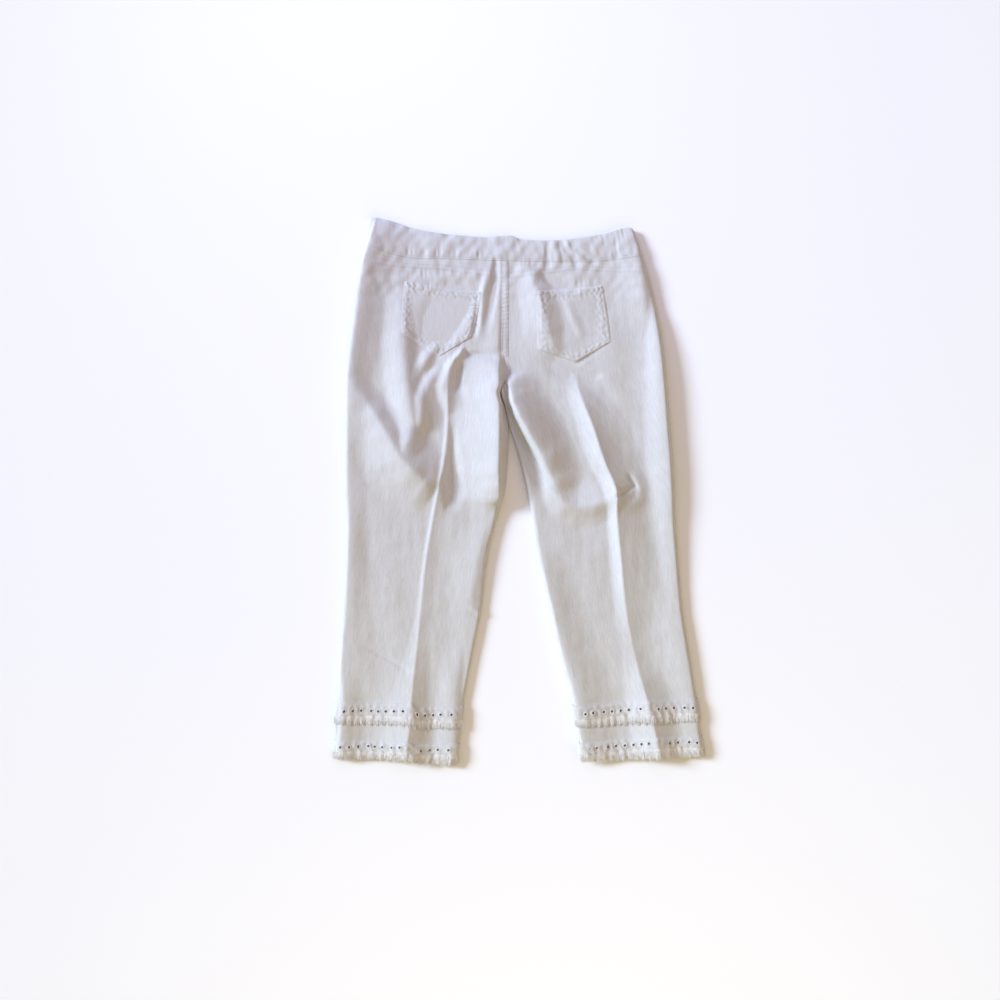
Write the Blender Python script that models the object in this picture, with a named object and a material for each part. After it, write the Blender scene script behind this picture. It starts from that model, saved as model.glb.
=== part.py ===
# Pull-on capri pants in stretch denim, laid flat on a surface with the back up.
# The waist is towards +Y, the surface is z = 0, and left and right are as seen from above.
# All sizes below are millimetres; MM turns them into metres when a mesh is made.

import math
import random

import bmesh
import bpy
import numpy as np
from mathutils import Vector

MM = 0.001

# Cloth and the gaps between its pieces
WALL = 1.2              # denim of the legs and yokes
BAND_WALL = 2.0         # waistband, with the elastic in it
TRIM_WALL = 1.0         # pockets and hem tiers
GAP = 0.3               # between pieces at a seam or one on the other
POCKET_LIFT = 0.45      # pocket above its panel, measured straight up
TIER_LIFT = 0.5         # back of a tier above the leg behind it
FRINGE_LIFT = 0.8       # fringe strip above the panel behind it
SEAM_Z = 4.0            # height of the side seams and inseams above the surface

# Places down the leg, measured from the waist seam
BAND_TOP = -45          # the waistband's upper edge
WAIST_SEAM = 0
YOKE_SEAM = 20
FORK_START, FORK_LENGTH = 200, 35       # where the centre seam opens into two inseams
LEGS_PART = 280                         # below this the two inner edges run apart
UPPER_TIER = {"top": 735, "eyelet_top": 744, "eyelet_bottom": 757, "bottom": 760}
LOWER_TIER = {"top": 800, "eyelet_top": 806, "eyelet_bottom": 819, "bottom": 822}
PANEL_END = 806
LEG_ROWS = (40, 60, 80, 100, 120, 140, 158, 174, 190, 205, 220, 235, 250, 265, 280, 300, 320,
            345, 370, 395, 415, 440, 480, 530, 590, 660, 715, 735, 760, 777, 800)
FRONT_ROWS = (50, 100, 158, 174, 190, 205, 220, 235, 250, 265, 280, 340, 400, 440, 505, 590, 675,
              715, 735, 748, 760, 777, 800)

# Flat cells between the rounded edges: from the outer edge to the crease, then to the inner edge.
BACK_CELLS = {"left": (9, 6), "right": (6, 9)}
FRONT_CELLS = {"left": (3, 3), "right": (3, 3)}
EDGE_ANGLES = (0, 30, 60)       # degrees round the edge, from the seam up
SHARP_ANGLE = 50        # degrees; corners sharper than this are not shaded smooth
WELD = 0.2              # corners of a trimmed piece closer than this become one

EYELET_RADIUS = 2.5
EYELET_SIDES = 6

PUFF = 24               # how far in from a folded edge the cloth still stands proud
JOG_WIDTH = 14          # the tiers step down beside the left crease over this width
CREASE_HEIGHT = 3.2     # pressed crease: a sharp ridge with hollow flanks
CREASE_REACH = 15
CREASE_SHARPNESS = 1.5
CREASE_FADE = 60        # it rises to that height over this length below the fork
RAMP_START, RAMP_LENGTH = 715, 18       # where the front climbs onto the tiers under it

BAND_PUCKERS = 28
STEPS_PER_PUCKER = 4
PUCKER_HEIGHT = 1.3
PUCKER_FADE = 0.35      # share of it lost at the waistband's upper edge
BAND_STEPS = (0, 0.5, 1)
SEAM_STEP = (0, GAP / 2, 0)     # from the waist seam to the waistband's lower edge
FRONT_DROP = 9          # the front of the waistband is this much lower at its middle

LOCKS = 56              # locks of frayed cloth along the back of a tier
LOCK_LENGTH = {"upper": 12.5, "lower": 16.0}
STRIP = 2.2             # height of the strip that carries them
STRIP_WALL = 0.8
LOCK_MARGIN = 0.01      # share of the tier's width left free at each end
LOCK_SHARES = (0.72, 1.0)       # shortest and longest lock, as shares of that length
LOCK_LEAN = 0.35        # how far a tip leans, in steps between locks
LOCK_TIP_LIFT = 0.5     # tips stand this much further out than the strip's back
FRINGE_TAIL = 14        # the flat front of a tier goes on this far, for its own frayed edge


def table(columns, rows):
    names = columns.split()
    return [dict(zip(names, row)) for row in rows]


# One row for each section of a leg. The section runs from the outer edge over the pressed
# crease to the inner edge. dip lets the outer half sag below its chord, and jog is the step
# down of the inner half beside the crease.
LEG_COLUMNS = "down outer_x outer_y crease_x crease_y inner_x inner_y dip jog"
SECTIONS = {
    "left": table(LEG_COLUMNS, [
        (0, -260, 419, -137, 394, -20, 390, 9, 0),
        (20, -269, 387, -132, 375, -20, 359, 2, 0),
        (100, -284, 307, -121, 294, -20, 291, 0, 0),
        (158, -292, 249, -116, 237, -20, 228, 0, 0),
        (220, -294, 181, -119, 170, -30, 171, 0, 0),
        (280, -294, 114, -120, 114, -17, 115, 0, 0),
        (340, -294, 52, -126, 54, -18, 52, 0, 0),
        (400, -293, -7, -135, 5, -25, -7, 0, 0),
        (440, -291, -47, -145, -47, -37, -47, 0, 0),
        (505, -293, -113, -156, -113, -52, -113, 0, 0),
        (590, -296, -197, -165, -200, -62, -195, 0, 0),
        (675, -301, -281, -173, -281, -79, -281, 0, 1),
        (735, -305, -350, -180, -350, -93, -351, 0, 6),
        (760, -309, -375, -181, -376, -95, -376, 0, 6),
        (777, -310, -393, -183, -394, -96, -395, 0, 6),
        (800, -309, -414, -186, -415, -100, -415, 0, 5),
        (822, -312, -434, -187, -435, -102, -436, 0, 5),
        (840, -314, -449, -184, -451, -105, -457, 0, 5),
    ]),
    "right": table(LEG_COLUMNS, [
        (0, 209, 398, 98, 388, -20, 390, 2, 0),
        (20, 218, 369, 97, 375, -20, 359, 1, 0),
        (100, 233, 307, 91, 294, -20, 291, 0, 0),
        (158, 243, 249, 90, 237, -20, 228, 0, 0),
        (220, 250, 181, 101, 171, -30, 171, 0, 0),
        (280, 255, 114, 122, 114, -17, 115, 0, 0),
        (340, 260, 52, 142, 53, 1, 52, 0, 0),
        (400, 263, -7, 162, 3, 16, -7, 0, 0),
        (440, 264, -47, 164, -47, 23, -47, 0, 0),
        (505, 269, -113, 171, -113, 33, -113, 0, 0),
        (590, 276, -197, 180, -198, 52, -197, 0, 0),
        (675, 289, -281, 197, -281, 71, -281, 0, 0),
        (735, 299, -344, 214, -345, 91, -355, 0, 0),
        (760, 304, -370, 220, -371, 94, -381, 0, 0),
        (777, 305, -388, 225, -391, 96, -397, 0, 0),
        (800, 307, -407, 229, -407, 102, -418, 0, 0),
        (822, 311, -428, 234, -428, 104, -439, 0, 0),
        (840, 314, -444, 236, -448, 108, -454, 0, 0),
    ]),
}

# The centre seam, and below the fork the line where the two legs still touch
CENTRE_SEAM = table("down x y", [
    (0, -20, 390),
    (20, -20, 359),
    (100, -20, 291),
    (158, -20, 228),
    (190, -14, 202),
    (220, -30, 171),
    (250, -23, 143),
    (280, -17, 115),
])

# Height of the upper layer: beside the outer edge, in the middle and beside the inner edge.
# radius is how far in from an edge it takes to round over.
HEIGHTS = table("down outer middle inner radius", [
    (-45, 10, 7, 7, 8),
    (0, 12, 8, 7, 9),
    (100, 13, 8, 6, 9),
    (158, 13, 8, 7, 9),
    (220, 13, 8, 11, 9),
    (340, 12, 9, 12, 9),
    (440, 11, 9, 11, 8),
    (590, 10, 8, 9, 7),
    (735, 9, 7.5, 8, 5),
    (840, 8, 7, 7.5, 5),
])

# Slow waves that make the gathers of the waistband uneven, in spacing and in depth
PUCKER_DRIFT = table("turns rate", [(0.35, 9), (0.2, 23)])
PUCKER_DEPTH = table("along share", [
    (0.0, 0.3),
    (0.2, 0.6),
    (0.35, 0.9),
    (0.5, 0.7),
    (0.62, 1.0),
    (0.85, 0.9),
    (1.0, 0.5),
])

# Upper edge of the waistband from its left end to its right end
WAIST_EDGE = table("along x y", [
    (0.00, -251, 461),
    (0.02, -243, 463),
    (0.09, -213, 457),
    (0.18, -174, 444),
    (0.27, -132, 437),
    (0.36, -90, 433),
    (0.44, -58, 431),
    (0.54, -13, 433),
    (0.59, 4, 427),
    (0.73, 69, 426),
    (0.87, 136, 435),
    (0.96, 178, 446),
    (0.985, 189, 445),
    (1.00, 195, 439),
])

# Folds that stand up in the upper layer. Each runs down its rows: the crest's place and
# height, and how far the cloth takes to come down on its -X and its +X side (where the fold
# runs across, on its lower and its upper side).
FOLD_COLUMNS = "x y height before after"
FOLDS = {
    "left thigh": table(FOLD_COLUMNS, [
        (-184, 330, 0, 22, 26),
        (-193, 257, 8, 30, 32),
        (-194, 198, 12, 32, 34),
        (-181, 139, 13, 32, 32),
        (-176, 96, 9, 28, 28),
        (-184, 56, 0, 24, 24),
    ]),
    "left knee diagonal": table(FOLD_COLUMNS, [
        (-284, 190, 0, 24, 26),
        (-252, 146, 9, 34, 28),
        (-231, 104, 12, 42, 26),
        (-201, 56, 12, 50, 24),
        (-158, 13, 9, 46, 22),
        (-134, 6, 0, 40, 20),
    ]),
    "left pocket tip": table(FOLD_COLUMNS, [
        (-88, 248, 0, 12, 12),
        (-112, 220, 6, 18, 18),
        (-122, 196, 7, 20, 20),
        (-128, 170, 6, 20, 20),
        (-121, 130, 0, 18, 18),
    ]),
    "left inner thigh": table(FOLD_COLUMNS, [
        (-34, 232, 0, 40, 16),
        (-38, 198, 12, 56, 20),
        (-38, 156, 16, 62, 24),
        (-40, 89, 18, 64, 28),
        (-42, 39, 16, 60, 28),
        (-43, 0, 12, 50, 26),
        (-50, -34, 0, 40, 22),
    ]),
    "right inner thigh": table(FOLD_COLUMNS, [
        (-20, 188, 0, 16, 40),
        (-12, 156, 13, 18, 54),
        (0, 132, 20, 22, 62),
        (12, 112, 22, 26, 70),
        (39, 62, 20, 36, 70),
        (66, 13, 14, 46, 56),
        (84, -16, 0, 44, 40),
    ]),
    "right knee": table(FOLD_COLUMNS, [
        (52, 0, 0, 22, 34),
        (74, -20, 9, 22, 40),
        (110, -22, 10, 22, 44),
        (145, -16, 9, 20, 44),
        (170, 6, 0, 18, 30),
    ]),
    "beside centre seam": table(FOLD_COLUMNS, [
        (4, 384, 0, 18, 18),
        (22, 358, 7, 24, 20),
        (36, 328, 9, 26, 20),
        (44, 296, 9, 26, 20),
        (54, 262, 7, 26, 20),
        (68, 224, 0, 22, 20),
    ]),
    "right hip": table(FOLD_COLUMNS, [
        (192, 400, 0, 26, 18),
        (205, 353, 5, 32, 20),
        (209, 316, 5, 32, 20),
        (204, 268, 0, 30, 18),
    ]),
}

# Five corners of each pocket, clockwise from its upper left
POCKETS = {
    "left": [(-192, 356), (-63, 339), (-80, 262), (-132, 230), (-197, 270)],
    "right": [(31, 339), (141, 349), (155, 254), (96, 220), (32, 241)],
}

COLOURS = {
    "panel": (0.80, 0.81, 0.84, 1),
    "band": (0.82, 0.82, 0.85, 1),
    "pocket": (0.78, 0.79, 0.83, 1),
    "tier": (0.84, 0.84, 0.85, 1),
    "fringe": (0.86, 0.85, 0.83, 1),
}
ROUGHNESS = 0.85


def ease(t):
    t = min(max(t, 0.0), 1.0)
    return t * t * (3 - 2 * t)


def slope(rows, column, i, key):
    low = max(i - 1, 0)
    high = min(i + 1, len(rows) - 1)
    return (rows[high][column] - rows[low][column]) / (rows[high][key] - rows[low][key])


def read(rows, column, at, key="down"):
    # A smooth curve through a table's rows, held at its ends
    at = min(max(at, rows[0][key]), rows[-1][key])
    i = 0
    while i < len(rows) - 2 and at > rows[i + 1][key]:
        i += 1
    span = rows[i + 1][key] - rows[i][key]
    t = (at - rows[i][key]) / span
    a, b = rows[i][column], rows[i + 1][column]
    m, n = slope(rows, column, i, key) * span, slope(rows, column, i + 1, key) * span
    return (a * (2 * t**3 - 3 * t**2 + 1) + m * (t**3 - 2 * t**2 + t)
            + b * (3 * t**2 - 2 * t**3) + n * (t**3 - t**2))


def outward(side):
    return -1 if side == "left" else 1


def outer_edge(side, down):
    rows = SECTIONS[side]
    return np.array([read(rows, "outer_x", down), read(rows, "outer_y", down)])


def crease(side, down):
    rows = SECTIONS[side]
    return np.array([read(rows, "crease_x", down), read(rows, "crease_y", down)])


def inner_edge(side, down):
    # Both sides follow the centre seam until the legs part, half a gap either side of it
    if down <= LEGS_PART:
        x, y = read(CENTRE_SEAM, "x", down), read(CENTRE_SEAM, "y", down)
    else:
        rows = [row for row in SECTIONS[side] if row["down"] >= LEGS_PART]
        x, y = read(rows, "inner_x", down), read(rows, "inner_y", down)
    return np.array([x + outward(side) * GAP / 2, y])


def fork(down):
    # 0 where the two sides are one body, 1 where each leg has an inner edge of its own
    return ease((down - FORK_START) / FORK_LENGTH)


def column_list(cells):
    to_crease, to_inner = cells
    columns = [("outer edge", angle) for angle in EDGE_ANGLES]
    columns += [("outer half", i / to_crease) for i in range(to_crease + 1)]
    columns += [("inner half", i / to_inner) for i in range(1, to_inner + 1)]
    columns += [("inner edge", angle) for angle in reversed(EDGE_ANGLES)]
    return columns


def place(side, down, column, radius):
    # Where a column crosses a section, in plan: the point, how far it is from the outer and
    # the inner edge, and how far up each rounded edge it lies (1 when past it)
    kind, value = column
    outer, middle, inner = outer_edge(side, down), crease(side, down), inner_edge(side, down)
    outer_width = np.linalg.norm(middle - outer)
    inner_width = np.linalg.norm(inner - middle)
    outer_rise = inner_rise = 1.0
    if kind == "outer edge":
        in_from = radius * (1 - math.cos(math.radians(value)))
        outer_rise = math.sin(math.radians(value))
    elif kind == "outer half":
        in_from = radius + value * (outer_width - radius)
    elif kind == "inner half":
        in_from = outer_width + value * (inner_width - radius)
    else:
        in_from = outer_width + inner_width - radius * (1 - math.cos(math.radians(value)))
        inner_rise = math.sin(math.radians(value))
    rows = SECTIONS[side]
    if in_from <= outer_width:
        f = in_from / outer_width
        point = outer + f * (middle - outer)
        point[1] -= read(rows, "dip", down) * math.sin(math.pi * f)
    else:
        past = in_from - outer_width
        point = middle + past / inner_width * (inner - middle)
        point[1] -= read(rows, "jog", down) * ease(past / JOG_WIDTH)
    return point, in_from, outer_width + inner_width - in_from, outer_rise, inner_rise


def fold_height(rows, x, y):
    # Height that one fold adds at a point: full on its crest, none past its reach
    stretches = []
    for low, high in zip(rows, rows[1:]):
        run_x, run_y = high["x"] - low["x"], high["y"] - low["y"]
        t = ((x - low["x"]) * run_x + (y - low["y"]) * run_y) / (run_x**2 + run_y**2)
        t = min(max(t, 0.0), 1.0)
        off_x, off_y = x - low["x"] - t * run_x, y - low["y"] - t * run_y
        side = "after" if run_x * off_y - run_y * off_x > 0 else "before"
        reach = low[side] + t * (high[side] - low[side])
        height = low["height"] + t * (high["height"] - low["height"])
        stretches.append((math.hypot(off_x, off_y), reach, height))
    distance, reach, height = min(stretches)
    return height * (1 - ease(distance / reach))


def crease_height(down, from_crease):
    flank = max(0.0, 1 - abs(from_crease) / CREASE_REACH)
    return ease((down - LEGS_PART) / CREASE_FADE) * CREASE_HEIGHT * flank**CREASE_SHARPNESS


def back_point(side, down, column):
    radius = read(HEIGHTS, "radius", down)
    point, from_outer, from_inner, outer_rise, inner_rise = place(side, down, column, radius)
    middle = read(HEIGHTS, "middle", down)
    near_outer = math.exp(-((from_outer - radius) / PUFF) ** 2)
    near_inner = math.exp(-((from_inner - radius) / PUFF) ** 2)
    z = middle + (read(HEIGHTS, "outer", down) - middle) * near_outer
    z += (read(HEIGHTS, "inner", down) - middle) * near_inner
    z += sum(fold_height(rows, *point) for rows in FOLDS.values())
    outer_width = np.linalg.norm(crease(side, down) - outer_edge(side, down))
    z += crease_height(down, from_outer - outer_width)
    low = SEAM_Z + GAP / 2
    inner_rise = 1 - fork(down) * (1 - inner_rise)
    z = low + (z - low) * outer_rise * inner_rise
    return np.array([point[0], point[1], z])


def front_base(down):
    # The front of a leg lies on the surface, and climbs onto the tiers sewn outside it
    return (TRIM_WALL + GAP) * ease((down - RAMP_START) / RAMP_LENGTH)


def front_point(side, down, column):
    point, _, _, outer_rise, inner_rise = place(side, down, column, SEAM_Z)
    base, high = front_base(down), SEAM_Z - GAP / 2
    inner_rise = 1 - fork(down) * (1 - inner_rise)
    z = base + (high - base) * (1 - outer_rise * inner_rise)
    return np.array([point[0], point[1], z])


def unit(vector):
    return vector / max(np.linalg.norm(vector), 1e-9)


def grid_of(point_at, side, downs, columns):
    return np.array([[point_at(side, down, column) for column in columns] for down in downs])


def normals_of(grid, side, downs, facing):
    # Outward directions of a panel's grid. facing is +1 for the upper layer, -1 for the
    # lower one. At the end rows they don't lean along the leg, at an edge that is rounded
    # they lie level, and at the centre seam they don't lean across it.
    rows, columns = grid.shape[:2]
    along = np.gradient(grid, axis=0)
    across = np.gradient(grid, axis=1)
    normals = np.cross(along, across)
    for r in range(rows):
        rounded = fork(downs[r])
        for c in range(columns):
            n = unit(normals[r, c])
            n = n if n[2] * facing >= 0 else -n
            if r in (0, rows - 1):
                level = unit(along[r, c] * (1, 1, 0))
                n = unit(n - n.dot(level) * level)
            if c in (0, columns - 1):
                run = unit(along[r, c] * (1, 1, 0))
                away = np.array([run[1], -run[0], 0.0])
                sign = outward(side) if c == 0 else -outward(side)
                away = away if away[0] * sign > 0 else -away
                flat = unit(n - n.dot(away) * away)
                n = away if c == 0 else unit(rounded * away + (1 - rounded) * flat)
            normals[r, c] = n
    return normals


def add_grid(bm, grid, flip, cut=()):
    # Vertices of a grid, and two triangles for each of its cells that isn't cut
    verts = [[bm.verts.new(Vector(p) * MM) for p in row] for row in grid]
    for r in range(len(verts) - 1):
        for c in range(len(verts[0]) - 1):
            if (r, c) in cut:
                continue
            a, b = verts[r][c], verts[r][c + 1]
            d, e = verts[r + 1][c], verts[r + 1][c + 1]
            for face in ((a, b, e), (a, e, d)):
                bm.faces.new(face[::-1] if flip else face)
    return verts


def rim_of(verts):
    top, bottom = verts[0], verts[-1]
    right = [row[-1] for row in verts[1:-1]]
    left = [row[0] for row in verts[1:-1]]
    return top + right + bottom[::-1] + left[::-1]


def join_loops(bm, one, other):
    for i in range(len(one)):
        j = (i + 1) % len(one)
        bm.faces.new((one[i], one[j], other[j]))
        bm.faces.new((one[i], other[j], other[i]))


def cut_ring(bm, corners, centre, ring):
    # Fills the cell between its four corners and a round hole in it
    nearest = []
    for i, vert in enumerate(ring):
        middle = (vert.co + ring[(i + 1) % len(ring)].co) / 2 - centre
        nearest.append(max(range(4), key=lambda k: (corners[k].co - centre).normalized().dot(
            middle.normalized())))
    for i, vert in enumerate(ring):
        after = ring[(i + 1) % len(ring)]
        bm.faces.new((corners[nearest[i]], after, vert))
        if nearest[i] != nearest[i - 1]:
            bm.faces.new((corners[nearest[i - 1]], corners[nearest[i]], vert))


def eyelet(bm, outer, inner, r, c):
    rings = []
    for verts in (outer, inner):
        corners = [verts[r][c], verts[r][c + 1], verts[r + 1][c + 1], verts[r + 1][c]]
        a, b, d, e = (vert.co.copy() for vert in corners)
        centre = (a + b + d + e) / 4
        across, along = (b + d - a - e) / 2, (d + e - a - b) / 2
        ring = []
        for i in range(EYELET_SIDES):
            angle = 2 * math.pi * i / EYELET_SIDES
            offset = across.normalized() * math.cos(angle) + along.normalized() * math.sin(angle)
            ring.append(bm.verts.new(centre + offset * EYELET_RADIUS * MM))
        cut_ring(bm, corners, centre, ring)
        rings.append(ring)
    join_loops(bm, *rings)


def material(name, kind):
    made = bpy.data.materials.new(name)
    made.use_nodes = True
    shader = made.node_tree.nodes["Principled BSDF"]
    shader.inputs["Base Color"].default_value = COLOURS[kind]
    shader.inputs["Roughness"].default_value = ROUGHNESS
    shader.inputs["Metallic"].default_value = 0.0
    return made


def finish(bm, name, kind):
    bmesh.ops.triangulate(bm, faces=bm.faces[:])
    bmesh.ops.recalc_face_normals(bm, faces=bm.faces[:])
    mesh = bpy.data.meshes.new(name)
    bm.to_mesh(mesh)
    bm.free()
    mesh.shade_smooth()
    mesh.set_sharp_from_angle(angle=math.radians(SHARP_ANGLE))
    mesh.materials.append(material(f"{name}_cloth", kind))
    bpy.context.scene.collection.objects.link(bpy.data.objects.new(name, mesh))


def make_shell(name, kind, outer, inner, eyelets=()):
    bm = bmesh.new()
    outer_verts = add_grid(bm, outer, False, eyelets)
    inner_verts = add_grid(bm, inner, True, eyelets)
    join_loops(bm, rim_of(outer_verts), rim_of(inner_verts))
    for r, c in eyelets:
        eyelet(bm, outer_verts, inner_verts, r, c)
    finish(bm, name, kind)


def make_panel(name, side, downs, back=True):
    cells = BACK_CELLS if back else FRONT_CELLS
    point_at = back_point if back else front_point
    outer = grid_of(point_at, side, downs, column_list(cells[side]))
    normals = normals_of(outer, side, downs, 1 if back else -1)
    make_shell(name, "panel", outer, outer - normals * WALL)


def seam_rows(first, rows, last):
    return [first + GAP / 2, *(row for row in rows if first < row < last), last - GAP / 2]


def make_body(side):
    make_panel(f"yoke_{side}", side, seam_rows(WAIST_SEAM, (10,), YOKE_SEAM))
    make_panel(f"back_leg_{side}", side, seam_rows(YOKE_SEAM, LEG_ROWS, PANEL_END))
    make_panel(f"front_leg_{side}", side, seam_rows(WAIST_SEAM, FRONT_ROWS, PANEL_END), False)


def make_pocket(side):
    # The piece of the leg panel's own outer face inside the pocket's outline, lifted off it
    downs = seam_rows(YOKE_SEAM, LEG_ROWS, PANEL_END)
    grid = grid_of(back_point, side, downs, column_list(BACK_CELLS[side]))
    bm = bmesh.new()
    add_grid(bm, grid, False)
    corners = POCKETS[side]
    for (x, y), (next_x, next_y) in zip(corners, corners[1:] + corners[:1]):
        edge = Vector((next_x - x, next_y - y, 0))
        away = Vector((-edge.y, edge.x, 0)).normalized()
        bmesh.ops.bisect_plane(bm, geom=bm.verts[:] + bm.edges[:] + bm.faces[:], clear_outer=True,
                               plane_co=Vector((x, y, 0)) * MM, plane_no=away)
    bmesh.ops.remove_doubles(bm, verts=bm.verts[:], dist=WELD * MM)
    bmesh.ops.translate(bm, verts=bm.verts[:], vec=(0, 0, POCKET_LIFT * MM))
    added = bmesh.ops.extrude_face_region(bm, geom=bm.faces[:], use_keep_orig=True)
    raised = [item for item in added["geom"] if isinstance(item, bmesh.types.BMVert)]
    bmesh.ops.translate(bm, verts=raised, vec=(0, 0, TRIM_WALL * MM))
    finish(bm, f"pocket_{side}", "pocket")


def make_tier(level, side, tier):
    # Back: a strip with a row of eyelets, just outside the leg. Front: plain, flat on the
    # surface, and as long as its frayed edge.
    downs = [tier["top"], tier["eyelet_top"], tier["eyelet_bottom"], tier["bottom"]]
    columns = column_list(BACK_CELLS[side])
    base = grid_of(back_point, side, downs, columns)
    normals = normals_of(base, side, downs, 1)
    first = len(EDGE_ANGLES)
    holes = [(1, first + i) for i in range(sum(BACK_CELLS[side]))]
    make_shell(f"tier_{level}_back_{side}", "tier", base + normals * (TIER_LIFT + TRIM_WALL),
               base + normals * TIER_LIFT, holes)
    downs = [tier["top"], tier["bottom"], tier["bottom"] + FRINGE_TAIL]
    base = grid_of(front_point, side, downs, column_list(FRONT_CELLS[side]))
    normals = normals_of(base, side, downs, -1)
    make_shell(f"tier_{level}_front_{side}", "tier", base + normals * (GAP + TRIM_WALL),
               base + normals * GAP)


def along_row(row, normals, distance):
    # The point and the outward direction at a distance along a row of a panel's grid
    for a, b, n, m in zip(row, row[1:], normals, normals[1:]):
        length = np.linalg.norm(b - a)
        if distance <= length:
            t = distance / length
            return a + t * (b - a), unit(n + t * (m - n))
        distance -= length
    return row[-1], normals[-1]


def make_fringe(level, side, tier):
    # A narrow strip just past the tier's edge, and a four-sided lock for each of its steps
    columns = column_list(BACK_CELLS[side])
    top = tier["bottom"] + GAP
    downs = [top, top + STRIP, top + STRIP + LOCK_LENGTH[level]]
    base = grid_of(back_point, side, downs, columns)
    normals = normals_of(base, side, downs, 1)
    lengths = [np.linalg.norm(np.diff(row, axis=0), axis=1).sum() for row in base]
    uneven = random.Random(f"{level} {side}")
    bm = bmesh.new()
    fronts, backs = [], []
    for i in range(LOCKS + 1):
        at = LOCK_MARGIN + (1 - 2 * LOCK_MARGIN) * i / LOCKS
        front, back = [], []
        for r in (0, 1):
            point, n = along_row(base[r], normals[r], at * lengths[r])
            front.append(bm.verts.new(Vector(point + n * (FRINGE_LIFT + STRIP_WALL)) * MM))
            back.append(bm.verts.new(Vector(point + n * FRINGE_LIFT) * MM))
        fronts.append(front)
        backs.append(back)
    for i in range(LOCKS):
        f, g, b, k = fronts[i], fronts[i + 1], backs[i], backs[i + 1]
        bm.faces.new((f[0], g[0], g[1], f[1]))
        bm.faces.new((k[0], b[0], b[1], k[1]))
        bm.faces.new((b[0], k[0], g[0], f[0]))
        reach = uneven.uniform(*LOCK_SHARES)
        lean = uneven.uniform(-LOCK_LEAN, LOCK_LEAN)
        at = LOCK_MARGIN + (1 - 2 * LOCK_MARGIN) * (i + 0.5 + lean) / LOCKS
        start, _ = along_row(base[1], normals[1], at * lengths[1])
        end, n = along_row(base[2], normals[2], at * lengths[2])
        lift = n * (FRINGE_LIFT + LOCK_TIP_LIFT)
        tip = bm.verts.new(Vector(start + reach * (end - start) + lift) * MM)
        for face in ((f[1], g[1], tip), (k[1], b[1], tip), (g[1], k[1], tip), (b[1], f[1], tip)):
            bm.faces.new(face)
    for verts in (fronts[0] + backs[0][::-1], fronts[-1] + backs[-1][::-1]):
        bm.faces.new(verts)
    finish(bm, f"fringe_{level}_{side}", "fringe")


def waist_row(point_at, cells):
    # The waist seam from the left end to the right end, through both sides' own columns
    left = [point_at("left", WAIST_SEAM, column) for column in column_list(cells["left"])]
    right = [point_at("right", WAIST_SEAM, column) for column in column_list(cells["right"])]
    return np.array(left + right[::-1])


def waist_edge(along):
    return np.array([read(WAIST_EDGE, "x", along, "along"), read(WAIST_EDGE, "y", along, "along")])


def pucker(along):
    turns = BAND_PUCKERS * along
    turns += sum(wave["turns"] * math.sin(wave["rate"] * along) for wave in PUCKER_DRIFT)
    depth = PUCKER_HEIGHT * read(PUCKER_DEPTH, "share", along, "along")
    return depth * (0.5 - 0.5 * math.cos(2 * math.pi * turns))


def lengths_along(row):
    # Distance in plan from a row's first point to each of its points
    return np.r_[0, np.cumsum(np.linalg.norm(np.diff(row[:, :2], axis=0), axis=1))]


def band_places(length, radius):
    # How far along the band its columns lie, and how far up each rounded end (1 past it)
    ends = [radius * (1 - math.cos(math.radians(angle))) for angle in EDGE_ANGLES]
    rises = [math.sin(math.radians(angle)) for angle in EDGE_ANGLES]
    flat = np.linspace(radius, length - radius, STEPS_PER_PUCKER * BAND_PUCKERS + 1)
    return ([*ends, *flat, *(length - end for end in reversed(ends))],
            [*rises, *(1.0 for _ in flat), *reversed(rises)])


def band_normals(grid, facing):
    # Square to each row, level at its two ends, and never leaning up or down the band
    along = np.gradient(grid, axis=1)
    normals = np.zeros(grid.shape)
    for r, row in enumerate(along):
        for c, step in enumerate(row):
            run = unit(step)
            normals[r, c] = facing * unit(np.array([0, 0, 1.0]) - run[2] * run)
        normals[r, 0], normals[r, -1] = (-1, 0, 0), (1, 0, 0)
    return normals


def band_top(at, length, radius, rise):
    # Height of the waistband's upper edge, which stands a little proud beside its two ends
    low, middle = SEAM_Z + GAP / 2, read(HEIGHTS, "middle", BAND_TOP)
    near = math.exp(-((min(at, length - at) - radius) / PUFF) ** 2)
    level = middle + (read(HEIGHTS, "outer", BAND_TOP) - middle) * near
    return low + (level - low) * rise


def make_back_band():
    # The outer face is gathered by the elastic, and the inner face is smooth
    seam = waist_row(back_point, BACK_CELLS)
    marks = lengths_along(seam)
    length = marks[-1]
    radius = read(HEIGHTS, "radius", WAIST_SEAM)
    places, rises = band_places(length, radius)
    smooth, raised = [], []
    for t in reversed(BAND_STEPS):
        for at, rise in zip(places, rises):
            lower = np.array([np.interp(at, marks, seam[:, axis]) for axis in range(3)]) + SEAM_STEP
            upper = np.array([*waist_edge(at / length), band_top(at, length, radius, rise)])
            point = lower + t * (upper - lower)
            gathered = pucker(at / length) * rise * (1 - PUCKER_FADE * t)
            smooth.append(point)
            raised.append(point + (0, 0, gathered))
    shape = (len(BAND_STEPS), len(places), 3)
    smooth, raised = np.reshape(smooth, shape), np.reshape(raised, shape)
    make_shell("waistband_back", "band", raised, smooth - band_normals(smooth, 1) * BAND_WALL)


def make_front_band():
    seam = waist_row(front_point, FRONT_CELLS)
    marks = lengths_along(seam)
    lower = seam + SEAM_STEP
    upper = []
    for point, at in zip(lower, marks / marks[-1]):
        x, y = waist_edge(at)
        upper.append((x, y - FRONT_DROP * math.sin(math.pi * at), point[2]))
    grid = np.array([lower + t * (upper - lower) for t in reversed(BAND_STEPS)])
    make_shell("waistband_front", "band", grid, grid - band_normals(grid, -1) * BAND_WALL)


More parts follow.
